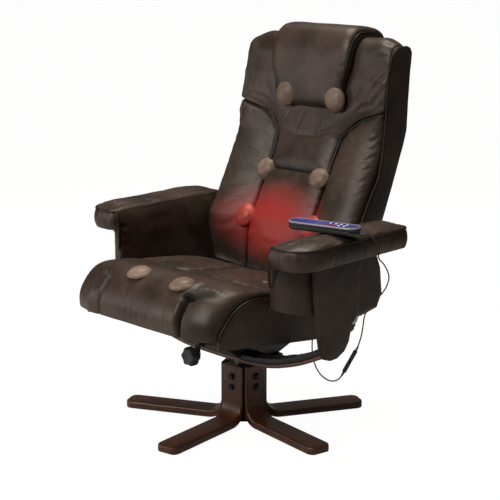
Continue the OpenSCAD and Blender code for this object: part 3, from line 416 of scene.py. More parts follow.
def tubes(name, lines, radius, sides=10):
    """One mesh of several piping tubes, each closed at both ends."""
    points, quads, caps, first = [], [], [], 0
    for line in lines:
        r = np.full(len(line), radius)
        r[0] = r[-1] = radius * 0.45
        rings = tube_rings(line, r, sides)
        n, m = rings.shape[:2]
        q, ends = grid_quads(n, m, wrap=True), end_caps(n, m)
        centre = rings[0].mean(0)
        if np.cross(rings[0][1] - centre, rings[0][0] - centre) @ (rings[1].mean(0) - centre) > 0:
            q, ends = q[:, ::-1], [cap[::-1] for cap in ends]
        points.append(rings.reshape(-1, 3))
        quads.append(q + first)
        caps += [[v + first for v in cap] for cap in ends]
        first += n * m
    return make_mesh(name, np.concatenate(points), np.concatenate(quads), None, caps, turn=False)


def place(obj, body, slot, finish, nodes=()):
    """Gives a finished piece its material and its body, and hides the nodes that it stands for. The slot
    argument is not used.
    """
    obj.data.materials.clear()
    obj.data.materials.append(finish)
    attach(obj, body)
    if nodes:
        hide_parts(*nodes)
    return obj


def bake(obj):
    """Turns an object with modifiers into its evaluated plain mesh."""
    bpy.context.view_layer.update()
    graph = bpy.context.evaluated_depsgraph_get()
    mesh = bpy.data.meshes.new_from_object(obj.evaluated_get(graph))
    old = obj.data
    obj.modifiers.clear()
    obj.data = mesh
    if old.users == 0 and isinstance(old, bpy.types.Mesh):
        bpy.data.meshes.remove(old)
    mesh.name = obj.name
    return obj


def subdivided(obj, levels=1):
    """Adds smooth subdivision to a piece and makes it plain mesh again."""
    step = obj.modifiers.new("Smooth", "SUBSURF")
    step.levels = step.render_levels = levels
    return bake(obj)


# Materials

class Wire:
    """A value or colour in a material's nodes, with sums and products that add Math nodes."""

    def __init__(self, tree, socket):
        self.tree, self.socket = tree, socket

    def math(self, kind, *terms, clamp=False):
        """A Math node with the given terms."""
        return node(self.tree, "Math", {"operation": kind, "use_clamp": clamp},
                    dict(enumerate(terms)))

    def __add__(self, other):
        return self.math("ADD", self, other)

    def __radd__(self, other):
        return self.math("ADD", other, self)

    def __sub__(self, other):
        return self.math("SUBTRACT", self, other)

    def __rsub__(self, other):
        return self.math("SUBTRACT", other, self)

    def __mul__(self, other):
        return self.math("MULTIPLY", self, other)

    def __rmul__(self, other):
        return self.math("MULTIPLY", other, self)

    def __truediv__(self, other):
        return self.math("DIVIDE", self, other)

    def __pow__(self, other):
        return self.math("POWER", self, other)


def node(tree, kind, settings=None, inputs=None, output=0):
    """Adds a node of any type, with its settings first and then its values and links."""
    made = tree.nodes.new("ShaderNode" + kind)
    for key, value in (settings or {}).items():
        if key == "stops":
            ramp = made.color_ramp
            while len(ramp.elements) < len(value):
                ramp.elements.new(0.5)
            for element, (place_at, colour) in zip(ramp.elements, value):
                element.position = place_at
                element.color = colour
        else:
            setattr(made, key, value)
    for key, value in (inputs or {}).items():
        socket = made.inputs[key]
        if isinstance(value, Wire):
            tree.links.new(value.socket, socket)
        else:
            socket.default_value = value
    return Wire(tree, made.outputs[output]) if made.outputs else None


def shade(colour, factor, lift=0.0):
    """The colour made darker or paler by a factor, and lifted a little."""
    return tuple(min(1, c * factor + lift) for c in colour)


def rgba(colour, factor=1.0, lift=0.0):
    """A colour with its alpha, made darker or paler by a factor."""
    return (*shade(colour, factor, lift), 1.0)


def mix(tree, factor, a, b):
    """Colour mixed from a to b by a factor."""
    return node(tree, "Mix", {"data_type": "RGBA"}, {0: factor, 6: a, 7: b}, output=2)


def noise(tree, where, scale, detail=3.0, rough=0.5, warp=0.0):
    """Cloudy pattern over a surface."""
    return node(tree, "TexNoise", {}, {"Vector": where, "Scale": scale, "Detail": detail,
                                       "Roughness": rough, "Distortion": warp})


def stretch(tree, where, factors, turn=(0, 0, 0)):
    """Coordinates scaled by their own factor along each axis."""
    return node(tree, "Mapping", {}, {"Vector": where, "Scale": factors, "Rotation": turn})


def ramp(tree, value, low, high):
    """Value that rises from 0 to 1 between two levels."""
    return node(tree, "MapRange", {"interpolation_type": "SMOOTHSTEP"},
                {"Value": value, "From Min": low, "From Max": high})


def material(name, paint, **constants):
    """New material: paint(tree) gives the shader's varying inputs, the rest are constants."""
    made = bpy.data.materials.new(name)
    made.use_nodes = True
    tree = made.node_tree
    tree.nodes.clear()
    shader = node(tree, "BsdfPrincipled", {}, {**constants, **paint(tree)})
    node(tree, "OutputMaterial", {}, {"Surface": shader})
    return made


def object_place(tree):
    """Coordinates of the piece's own object, in metres."""
    return node(tree, "TexCoord", output=3)


def tag(tree, key, output=2):
    """A number (output 2) or a vector (output 1) that the mesh carries at its points."""
    return node(tree, "Attribute", {"attribute_name": key}, output=output)


def bumped(tree, height, strength, distance):
    """Surface direction that follows a height."""
    return node(tree, "Bump", {}, {"Height": height, "Strength": strength, "Distance": distance})


def leather(name, colour, rough=0.42, grain=1.0, glow=None):
    """Dark upholstery leather: fine pebbled grain, soft creases darkened by painted shade, paler where it
    is worn; given a glow colour, a painted red glow that also lets out a little light.
    """
    def paint(tree):
        where = object_place(tree)
        crease = tag(tree, "crease")
        cloud = noise(tree, where, 9.0, 4.0, 0.55)
        patch = noise(tree, where, 46.0, 3.0, 0.6, 0.4)
        pebble = node(tree, "TexVoronoi", {"feature": "SMOOTH_F1"},
                      {"Vector": where, "Scale": 620.0, "Smoothness": 0.6})
        pore = noise(tree, where, 1500.0, 2.0)
        fine = noise(tree, where, 150.0, 4.0, 0.62, 0.9)
        worn = ramp(tree, cloud + 0.25 * (patch - 0.5), 0.3, 0.7)
        tone = mix(tree, worn, rgba(colour, 0.62), rgba(colour, 1.38, 0.002))
        # Painted shade: darker towards the creases, seams, walls and undersides that the mesh marks
        tone = mix(tree, crease * 0.92, tone, rgba(colour, 0.16))
        tone = mix(tree, ramp(tree, pebble, 0.55, 0.9) * 0.25, tone, rgba(colour, 0.5))
        out = {"Base Color": tone,
               "Roughness": rough - 0.06 + 0.16 * patch + 0.3 * crease - 0.05 * cloud}
        height = (fine * 0.55 + patch * 0.9 - pebble * 0.22 * grain + pore * 0.08 * grain
                  - crease * 0.8)
        out["Normal"] = bumped(tree, height, 0.32, 0.0011)
        # Painted red glow: the zone that the mesh marks is tinted red and lets out a little light, though
        # it is no lamp
        if glow:
            warm = tag(tree, "warm")
            out["Base Color"] = mix(tree, warm, tone, rgba(glow))
            out["Emission Color"] = mix(tree, warm, (0, 0, 0, 1), rgba(glow, 0.4))
        return out
    constants = {"Specular IOR Level": 0.35, "Sheen Weight": 0.0, "IOR": 1.45}
    if glow:
        constants["Emission Strength"] = 0.22
    return material(name, paint, **constants)


def lacquered_wood(name, deep, bright):
    """Brown stained beech under clear satin lacquer, with fine straight grain."""
    def paint(tree):
        where = object_place(tree)
        grain = tag(tree, "grain", 1)
        streak = noise(tree, stretch(tree, grain, (260.0, 260.0, 9.0)), 1.0, 5.0, 0.62, 0.3)
        vein = noise(tree, stretch(tree, grain, (900.0, 900.0, 26.0)), 1.0, 3.0, 0.7)
        cloud = noise(tree, where, 14.0, 3.0)
        mixture = ramp(tree, streak * 0.7 + vein * 0.25 + cloud * 0.22, 0.38, 0.78)
        tone = mix(tree, mixture, rgba(deep), rgba(bright))
        tone = mix(tree, ramp(tree, vein, 0.62, 0.8) * 0.35, tone, rgba(deep, 0.35))
        wear = noise(tree, where, 60.0, 3.0)
        return {"Base Color": tone, "Roughness": 0.3 + 0.16 * wear + 0.06 * streak,
                "Coat Weight": 0.08 + 0.2 * cloud,
                "Normal": bumped(tree, vein * 0.5 + streak * 0.3 + wear * 0.25, 0.14, 0.0006)}
    return material(name, paint, **{"Coat Roughness": 0.14, "Coat IOR": 1.5})


def metal(name, colour, rough, shine, speck=0.3, brushed=None):
    """Painted or bare metal with faint orange peel, handling marks and uneven gloss."""
    def paint(tree):
        where = object_place(tree)
        along = stretch(tree, where, brushed) if brushed else where
        peel = noise(tree, along, 1.0 if brushed else 420.0, 3.0, 0.6)
        mark = noise(tree, where, 38.0, 4.0, 0.6, 0.6)
        tone = mix(tree, ramp(tree, mark, 0.35, 0.7), rgba(colour, 1 - speck), rgba(colour, 1 + speck))
        return {"Base Color": tone, "Roughness": rough - 0.08 + 0.2 * mark + 0.06 * peel,
                "Normal": bumped(tree, peel, 0.1, 0.0004)}
    return material(name, paint, **{"Metallic": shine})


def plastic(name, colour, rough, texture=700.0, depth=0.0002, coat=0.0):
    """Moulded plastic or rubber with its fine spark texture and slight dust in the gloss."""
    def paint(tree):
        where = object_place(tree)
        spark = noise(tree, where, texture, 3.0, 0.6)
        dust = noise(tree, where, 55.0, 4.0, 0.6, 0.5)
        tone = mix(tree, ramp(tree, dust, 0.4, 0.75) * 0.5, rgba(colour),
                   rgba(colour, 1.25, 0.006))
        return {"Base Color": tone, "Roughness": rough - 0.05 + 0.14 * dust + 0.04 * spark,
                "Normal": bumped(tree, spark, 0.2, depth)}
    return material(name, paint, **{"Coat Weight": coat, "Coat Roughness": 0.1})


def plywood(name):
    """Birch plywood of the hidden boards: pale face veneer with darker end-grain lines."""
    def paint(tree):
        where = object_place(tree)
        flame = noise(tree, stretch(tree, where, (14.0, 150.0, 150.0)), 1.0, 4.0, 0.6, 0.5)
        ply = node(tree, "TexWave", {"wave_type": "BANDS", "bands_direction": "Z"},
                   {"Vector": where, "Scale": 110.0, "Distortion": 0.6})
        tone = mix(tree, ramp(tree, flame, 0.3, 0.75), (0.40, 0.27, 0.15, 1), (0.58, 0.43, 0.26, 1))
        tone = mix(tree, ramp(tree, ply, 0.6, 0.9) * 0.25, tone, (0.26, 0.16, 0.08, 1))
        return {"Base Color": tone, "Roughness": 0.55 + 0.2 * flame,
                "Normal": bumped(tree, flame, 0.2, 0.0005)}
    return material(name, paint)


def woven(name, colour):
    """Woven heating mat with its crossing threads."""
    def paint(tree):
        where = object_place(tree)
        warp, weft = (node(tree, "TexWave", {"wave_type": "BANDS", "bands_direction": way},
                           {"Vector": where, "Scale": 190.0, "Distortion": 0.4}) for way in "XZ")
        weave = warp * 0.5 + weft * 0.5
        tone = mix(tree, weave, rgba(colour, 0.5), rgba(colour))
        return {"Base Color": tone, "Roughness": 0.8 + 0.1 * weave,
                "Normal": bumped(tree, weave, 0.4, 0.0006)}
    return material(name, paint)


FINISH = {}


def finish(key):
    """The named material, made when it is first asked for."""
    if key not in FINISH:
        chosen = bpy.context.scene.armchair_colours
        tone = tuple(chosen.leather)
        makers = {
            "pad": (leather, "PadLeather", tone, 0.42),
            # Pads over the lumbar zone, with the painted red glow
            "painted_glow_pad": (leather, "WarmedPadLeather", tone, 0.44, 1.0, tuple(chosen.glow)),
            "panel": (leather, "PanelLeather", shade(tone, 0.86), 0.46, 0.7),
            "disc": (leather, "DiscLeather", tuple(chosen.disc), 0.42, 0.6),
            # Discs inside the lumbar zone, in the painted red glow's colour
            "warm_disc": (leather, "WarmDiscLeather", (0.36, 0.05, 0.04), 0.42, 0.6),
            "piping": (leather, "PipingLeather", shade(tone, 0.3), 0.42, 0.8),
            "cover": (leather, "BarCover", (0.010, 0.009, 0.009), 0.30, 1.4),
            "wood": (lacquered_wood, "StainedBeech", tuple(chosen.wood_deep), tuple(chosen.wood_bright)),
            "black_steel": (metal, "BlackPaintedSteel", (0.012, 0.012, 0.014), 0.36, 0.0),
            "bolt": (metal, "BlackBolt", (0.018, 0.018, 0.020), 0.34, 0.55),
            "bare_steel": (metal, "ZincPlatedSteel", (0.42, 0.43, 0.45), 0.34, 0.95, 0.15,
                           (60.0, 900.0, 900.0)),
            "rubber": (plastic, "GlideRubber", (0.022, 0.022, 0.023), 0.75, 900.0),
            "knob": (plastic, "KnobPlastic", (0.021, 0.022, 0.024), 0.5, 800.0, 0.0003),
            "black_plastic": (plastic, "BlackPlastic", (0.012, 0.012, 0.014), 0.36, 700.0),
            "motor": (plastic, "MotorPlastic", (0.03, 0.03, 0.033), 0.45, 500.0),
            "rim": (plastic, "SilverRim", tuple(chosen.rim), 0.30, 1200.0, 0.0001, 0.3),
            "panel_blue": (plastic, "BluePanel", tuple(chosen.keypad), 0.22, 1200.0, 0.00005, 0.4),
            "key_white": (plastic, "WhiteKey", (0.80, 0.80, 0.84), 0.32, 1200.0, 0.00005, 0.2),
            "key_red": (plastic, "RedKey", (0.55, 0.04, 0.06), 0.32, 1200.0, 0.00005, 0.2),
            "cord": (plastic, "CordRubber", (0.010, 0.010, 0.011), 0.46, 1500.0, 0.0001),
            "plywood": (plywood, "BirchPlywood"),
            "heater": (woven, "HeatingMat", (0.36, 0.10, 0.08)),
        }
        maker, *details = makers[key]
        FINISH[key] = maker(*details)
    return FINISH[key]


# Shape of the chair in its side view

def seat_yz(s):
    """Places in the side view for shares of the seat's length and rise."""
    s = np.asarray(s, float)
    return np.stack([SEAT["front"] + s[..., 0] * SEAT["run"],
                     SEAT["base"] + s[..., 1] * SEAT["rise"]], -1)


def back_yz(s):
    """Places in the side view for shares of the back's depth and rise."""
    s = np.asarray(s, float)
    return np.stack([BACK["front"] + s[..., 0] * BACK["run"],
                     BACK["base"] + s[..., 1] * BACK["rise"]], -1)


def face_y(s):
    """Where the front of the back's pads lies, at a share of its rise."""
    return BACK["front"] + BACK["run"] * look(s, swap(BACK_FACE))


def piping_y(s):
    """Where the piping up the back's front edge lies."""
    return BACK["front"] + BACK["run"] * look(s, swap(BACK_FRONT))


def channel_x(s):
    """How far out the channel beside the middle pads lies."""
    return BACK["outer"] * look(s, BACK_CHANNEL)


def pad_depth(s):
    """Thickness of the back's pads."""
    return BACK["pad"] * look(s, [(0.6, 1), (0.78, 0.7)])


def back_z(s):
    """Height of a share of the back's rise."""
    return BACK["base"] + BACK["rise"] * np.asarray(s, float)


def arm_under(y):
    """Height of an arm pad's underside."""
    return ARM["low"] + ARM["climb"] * (np.asarray(y, float) - ARM["front"]) / ARM["long"]


def arm_yz(s):
    """Places in the side view for shares of an arm's length and drop."""
    s = np.asarray(s, float)
    y = ARM["front"] + s[..., 0] * ARM["long"]
    return np.stack([y, arm_under(y) - s[..., 1] * ARM["drop"]], -1)


# Cloth

CLOTH_FRAMES = 20
CLOTH = {"quality": 5, "mass": 0.3, "tension_stiffness": 12, "compression_stiffness": 12,
         "shear_stiffness": 6, "bending_stiffness": 2.0, "use_pressure": True, "pin_stiffness": 1.0}


def size_mm(key):
    """A size of the sidebar in millimetres."""
    return round(getattr(bpy.context.scene.armchair_sizes, key) / MM, 4)


def places(mesh):
    """Places of a mesh's points."""
    found = np.zeros(len(mesh.vertices) * 3)
    mesh.vertices.foreach_get("co", found)
    return found.reshape(-1, 3)


def puffed(obj, held):
    """Lets the cloth of a closed pad swell under pressure: held is 1 where seams pin it."""
    mesh = obj.data
    rest = places(mesh)
    group = obj.vertex_groups.new(name="held")
    group.add(np.nonzero(held > 0.5)[0].tolist(), 1.0, "REPLACE")
    step = obj.modifiers.new("Cloth", "CLOTH")
    cloth = step.settings
    for key, value in CLOTH.items():
        setattr(cloth, key, value)
    scene = bpy.context.scene
    cloth.uniform_pressure_force = scene.armchair_sizes.cloth_pressure
    cloth.vertex_group_mass = "held"
    cloth.effector_weights.gravity = 0
    step.collision_settings.use_collision = False
    step.point_cache.frame_start, step.point_cache.frame_end = 1, CLOTH_FRAMES
    for frame_number in range(1, CLOTH_FRAMES + 1):
        scene.frame_set(frame_number)
    graph = bpy.context.evaluated_depsgraph_get()
    moved = places(obj.evaluated_get(graph).data)
    obj.modifiers.remove(step)
    obj.vertex_groups.clear()
    scene.frame_set(1)
    shift = moved - rest
    far = np.linalg.norm(shift, axis=1)
    limit = size_mm("cloth_swell") * MM
    shift *= (limit * np.tanh(far / limit) / np.maximum(far, 1e-9))[:, None]
    mesh.vertices.foreach_set("co", (rest + shift).astype(np.float32).ravel())
    mesh.update()
    return obj


# Seat

def seat_surface(rows, cells):
    """Top and lower grids of the seat cushion, with the places across and along each point."""
    t = np.linspace(0, 1, rows + 1)
    seam = catmull(seat_yz(SEAT_SEAM), t)
    under = catmull(seat_yz(SEAT_UNDER), t)
    out = unit(seam - under)
    x = spread(cells, 0.3) * (SEAT["half"] - 0.3)
    X, T = np.meshgrid(x, t)
    half = SEAT["half"]
    edge_fall = 1 - np.abs(X / half) ** 8
    bow = SEAT["bow"] * catmull(SEAT_BOW, t) * edge_fall
    puff = SEAT["puff"] * catmull(SEAT_PUFF, t)
    run = run_of(seam)
    along = run[:, None] + 0 * X

    def to_along(points):
        """(X, Y) of a crease to (X, length along the cushion); in front of the edge Y is a depth."""
        made = []
        for px, py in points:
            if py < EDGE_Y:
                made.append((px, (py - EDGE_FOOT) / (EDGE_Y - EDGE_FOOT) * EDGE_DEPTH))
            else:
                made.append((px, max(np.interp(py, seam[6:, 0], run[6:]), EDGE_DEPTH + 2)))
        return made

    near = np.full(X.shape, 1e9)
    crease = np.zeros(X.shape)
    height = np.zeros(X.shape)
    swell = np.ones(X.shape)
    for number, (line, k, deep, wide, fall, over) in enumerate(SEAT_CREASES):
        d, at, total = nearest(X, along, np.array(to_along(line)) * (k, 1))
        tip = 1 - smooth(total - 40, total, at) * 0.9
        if number > 1:
            tip = tip * smooth(0, 60, at)
        elif k < 0:
            tip = tip * smooth(115, 70, at)
        elif k > 0:
            wide = wide * (1 + 1.2 * smooth(55, 100, at))
            deep = deep * (1 - 0.72 * smooth(55, 100, at))
            fall = fall * (1 - 0.8 * smooth(50, 90, at))
        near = np.minimum(near, d)
        swell *= 1 - fall * tip * (1 - pillow(1 - np.minimum(d, over) / over, 2.4, 0.6))
        height -= deep * tip * bump(d, wide)
        # Painted shade along the channels and mound lines, stronger where they are deeper
        crease = np.maximum(crease, np.minimum(1, deep / 7) * tip * bump(d, wide * 1.25))
        height += 1.0 * ripple(at, 11 + number, 18) * bump(d - wide - 5, 7) * tip
    side = half - np.abs(X)
    left = X < 0
    ends = np.minimum(along + 8, (run[-1] - along) * 1.2)
    reach = np.where(left, 34, 46) + 0 * X
    rim = pillow(1 - np.clip(side, 0, reach) / reach, 2.2, 0.5) \
        * pillow(1 - np.clip(ends, 0, 46) / 46, 2.4, 0.6)
    middle = smooth(150, 132, X) * smooth(-200, -60, X) * smooth(0.01, 0.1, T) \
        * smooth(0.44, 0.28, T)
    height += bow + puff * swell * rim + 6 * middle
    # The left front corner is stuffed fuller than the right one
    full = smooth(0.46, 0.2, T) * smooth(-130, -200, X) * rim
    height += 13 * full
    overhang = np.where(left, 34 * smooth(0.6, 0.15, T) + 6, 10) \
        * np.sin(math.pi * np.clip(side / 40, 0, 1)) * (1 - np.clip(side / 40, 0, 1))
    valley = bump(X, 34) * smooth(0.36, 0.48, T) * smooth(1.0, 0.8, T)
    height -= 7 * valley
    height -= folds(X, along, SEAT_FOLDS)
    height += 0.9 * blotch(X, along, 5, 90) * rim
    X = X + np.sign(X) * overhang
    size = np.linalg.norm(seam - under, axis=1)
    length = size[:, None] + np.maximum(height, -size[:, None] * 0.5)
    return above(X, under, out, length), above(X, under, out, 0.3 + 0 * X), crease, near


# Disc from its foot to its crown: share of the radius, and eighths of the height
DISC_PROFILE = [(1.3, -4.5), (1.22, -1.0), (1.13, 0.9), (1.05, 2.0), (0.98, 3.0), (0.9, 4.3),
                (0.8, 5.2), (0.66, 6.4), (0.5, 7.2), (0.33, 7.7), (0.15, 7.9), (0.02, 8.0)]


def disc_mesh(name, centre, normal):
    """Shallow domed leather disc over a massage motor, with a soft rolled foot."""
    radius, high = size_mm("disc_radius"), size_mm("disc_height")
    normal = unit(np.array(normal, float))
    a = unit(np.cross(normal, [0.0, 0.0, 1.0] if abs(normal[2]) < 0.9 else [0.0, 1.0, 0.0]))
    b = np.cross(normal, a)
    turn = np.linspace(0, 2 * math.pi, 40, endpoint=False)
    rings = []
    for share, up in DISC_PROFILE:
        r = radius * share * (1 + 0.012 * np.sin(3 * turn + up))
        rings.append(np.array(centre) + (np.cos(turn)[:, None] * a + np.sin(turn)[:, None] * b)
                     * r[:, None] + normal * up * high / 8)
    return rings_mesh(name, rings)


def build_seat():
    """Seat cushion, its piping and its side panels."""
    top, low, crease, near = seat_surface(112, 150)
    points, quads = shell(top, low)
    cushion = make_mesh("seat_cushion_cover", points, quads, {"crease": on_top(crease, 0)})
    free = np.zeros(near.shape, bool)
    free[2:-2, 2:-2] = near[2:-2, 2:-2] > 9
    puffed(cushion, on_top(1.0 - free, 1))
    place(cushion, "seat", "pad_leather", finish("pad"), ["seat_cushion"])

    # Piping over each side panel
    lines = []
    side = catmull(seat_yz(SEAT_SEAM), np.linspace(0, 1, 120))
    for s in (1, -1):
        lines.append(np.stack([np.full(len(side), s * 248.0), side[:, 0] - 1.5, side[:, 1] + 1.0], 1))
    edges = tubes("seat_side_piping", [resample(line, 5, False) for line in lines],
                  size_mm("edge_piping"))
    place(edges, "seat", "pad_leather", finish("piping"))

    # Side panels: leather over board, slightly puffed
    for s, tag in ((1, "right"), (-1, "left")):
        upper = seat_yz(SEAT_SIDE[1:9])
        lower = seat_yz([SEAT_SIDE[0], SEAT_SIDE[11], SEAT_SIDE[10], SEAT_SIDE[9]])
        panel = side_panel(f"seat_side_panel_{tag}", upper, lower, s * SEAT["half"],
                           s * SEAT["outer"], 3.0, 2.2, s * 3)
        place(panel, "seat", "panel_leather", finish("panel"), [f"seat_side_{tag}"])


def side_panel(name, edge_a, edge_b, x_in, x_out, radius, puff, seed, rows=70, cells=46,
               lines=()):
    """Upholstered panel that stands across X between two edges of a side view."""
    v = (spread(rows, 0.6) + 1) / 2
    u = (spread(cells, 0.7) + 1) / 2
    a, b = even(edge_a, 400), even(edge_b, 400)
    at = v * 400
    first = np.stack([np.interp(at, np.arange(401), a[:, k]) for k in (0, 1)], 1)
    last = np.stack([np.interp(at, np.arange(401), b[:, k]) for k in (0, 1)], 1)
    P = first[:, None] * (1 - u)[None, :, None] + last[:, None] * u[None, :, None]
    outline = np.concatenate([a, b[::-1], a[:1]])
    d, along, _ = nearest(P[..., 0], P[..., 1], outline[::4].tolist() + [outline[-1].tolist()])
    way = math.copysign(1, x_out - x_in)
    drop = radius * (1 - np.sqrt(np.clip(1 - (1 - np.minimum(d, radius) / radius) ** 2, 0, 1)))
    soft = puff * (1 - np.exp(-d / 22)) + 0.5 * blotch(P[..., 0], P[..., 1], abs(int(seed)) + 3, 110) \
        * smooth(0, 30, d) + 0.5 * ripple(along, abs(int(seed)) + 5, 30) * bump(d - 9, 8)
    soft -= folds(P[..., 0], P[..., 1], lines)
    x = x_out + way * (soft - drop)
    top = np.concatenate([x[..., None], P], -1)
    low = np.concatenate([np.full(x.shape, x_in + way * 0.2)[..., None], P], -1)
    points, quads = shell(top, low)
    # Painted shade along the panel's edge
    return make_mesh(name, points, quads, {"crease": on_top(bump(d, 2.4) * 0.7, 0)})


# Back

# Oval of the back's pads that gets the painted red glow, in millimetres
PAINTED_GLOW = {"x": -24, "z": 514, "half_wide": 218.0, "half_high": 128.0}


def back_pad(name, low_s, high_s, left, right, edge_left, edge_right, cells, rows, lines, seed,
             reach=60.0, warm=False, lean=None):
    """Pad of the back between two heights: left, right and the edges are functions of the height."""
    t = (spread(rows, 0.25) + 1) / 2
    s = low_s + (high_s - low_s) * t
    u = spread(cells, 0.25)
    xl, xr = left(s), right(s)
    X = xl[:, None] + (xr - xl)[:, None] * (u[None] + 1) / 2
    face = np.stack([face_y(s), back_z(s)], 1)
    run = run_of(face)
    L = run[:, None] + 0 * X
    depth = pad_depth(s)[:, None] + 0 * X
    e = edge_left(s)[:, None] * (1 - (u[None] + 1) / 2) + edge_right(s)[:, None] * (u[None] + 1) / 2
    corner = [np.stack([xl, run], 1), np.stack([xr, run], 1)]
    ends = [np.array([corner[0][0], corner[1][0]]), np.array([corner[0][-1], corner[1][-1]])]
    near = np.full(X.shape, 1e9)
    pucker = np.zeros(X.shape)
    for k, line in enumerate((*corner, *ends)):
        d, at, _ = nearest(X, L, line)
        near = np.minimum(near, d)
        pucker += 1.2 * ripple(at, seed * 7 + k, 30) * bump(d - 11, 10)
    half = np.minimum(reach, np.maximum((xr - xl) / 2, 12))[:, None]
    swell = pillow(1 - np.minimum(near, half) / half, 2.5, 0.55)
    h = e + (depth - e) * swell + pucker - folds(X, back_z(s)[:, None] + 0 * X, lines) * swell \
        + 0.8 * blotch(X, L, seed, 100) * swell
    Y = face_y(s)[:, None] + depth - h
    Z = back_z(s)[:, None] + 0 * X
    shift_x, shift_y = lean(X, Z) if lean else (0, 0)
    top = np.stack([X + shift_x * np.sqrt(swell), Y + shift_y * swell, Z], -1)
    low = np.stack([X, face_y(s)[:, None] + depth, Z], -1)
    points, quads = shell(top, low)
    # Painted shade near the pad's edges, and full over its lower grid
    values = {"crease": on_top(bump(near, 4.5), 1)}
    if warm:
        # Painted red glow: strongest in the middle of the oval, fading to nothing at its edge
        glow = np.hypot((X - PAINTED_GLOW["x"]) / PAINTED_GLOW["half_wide"], (Z - PAINTED_GLOW["z"]) / PAINTED_GLOW["half_high"])
        values["warm"] = on_top((1 - smooth(0.25, 1.0, glow)) * 0.9, 0)
    pad = make_mesh(name, points, quads, values)
    puffed(pad, on_top(1.0 - (near > 7), 1))
    return subdivided(pad)


def wing_pad(wide):
    """Upper pad of the back: rises behind the headrest and rolls over the top to the rear."""
    s = np.linspace(0.4795, 0.93, 90)
    front = np.stack([face_y(s), back_z(s)], 1)
    roll = catmull([tuple(front[-1]), (271, 957), (274.5, 974), (283, 989), (298, 999.5),
                    (317, 1002), (335, 996), (346, 982), (351, 964)], np.linspace(0, 1, 60))
    path = np.concatenate([front, roll[1:]])
    run = run_of(path)
    at = (spread(108, 0.2) + 1) / 2 * run[-1]
    P = np.stack([np.interp(at, run, path[:, k]) for k in (0, 1)], 1)
    share = np.interp(at, run[:90], s)
    turn = smooth(run[89], run[89] + 46, at)
    tangent = unit(np.gradient(P, axis=0))
    N = np.stack([-tangent[:, 1], tangent[:, 0]], 1)
    u = spread(100, 0.25)
    half = wide(share) + 2.0 * turn
    X = half[:, None] * u[None]
    L = at[:, None] + 0 * X
    depth = np.where(turn > 0, 28 + 3 * (1 - turn), pad_depth(share))
    seam = 20 - 13.3 * smooth(0.695, 0.745, share) + 14 * turn
    near_side = np.minimum(*(nearest(X, L, np.stack([k * half, at], 1))[0] for k in (1, -1)))
    along_side = 1.3 * ripple(L, 17, 30) * bump(near_side - 12, 11) * (1 - turn[:, None])
    reach = 60 - 12 * turn[:, None]
    swell = pillow(1 - np.minimum(near_side, reach) / reach, 2.5, 0.55)
    low_near = np.minimum(at / 46, 1)[:, None]
    end_near = np.minimum((run[-1] - at) / 22, 1)[:, None]
    swell_low = pillow(1 - low_near, 2.5, 0.55)
    Z = P[:, 1][:, None] + 0 * X
    sink = seam[:, None] * (1 - swell) + 20 * (1 - swell_low) + 9 * (1 - pillow(1 - end_near, 2.5, 0.6))
    sink = sink - along_side + folds(X, Z, WING_FOLDS) * swell * swell_low \
        - 0.9 * blotch(X, L, 2, 100) * swell
    # The left wing is stuffed fuller towards the bolster below it
    lift = 6 * smooth(-150, -235, X) * bump(Z - 800, 70)
    edge = np.clip((half[:, None] + X) / 34, 0, 1)
    lift = lift + 17 * np.sin(math.pi * edge) * (1 - edge) * smooth(790, 830, Z + 0 * X)
    raised = 9 * smooth(100, 150, np.abs(X)) * smooth(940, 985, Z)
    raised = raised - (9 - 4 * np.sign(X)) * smooth(200, 254, np.abs(X)) * smooth(945, 995, Z)
    top = above(X - lift, P, -N, sink) + np.stack([0 * X, -lift, raised], -1)
    points, quads = shell(top, above(X, P, -N, depth[:, None] + 0 * X))
    # Painted shade along the side seams and the lower end, less where the pad rolls over the top, and full
    # over the lower grid
    crease = np.maximum(bump(near_side, 4.5) * (1 - 0.6 * turn[:, None]), bump(L, 5))
    pad = make_mesh("upper_pad_cover", points, quads, {"crease": on_top(crease, 1)})
    free = (near_side > 8) & (L > 8) & (L < run[-1] - 8)
    puffed(pad, on_top(1.0 - free, 1))
    return subdivided(pad)


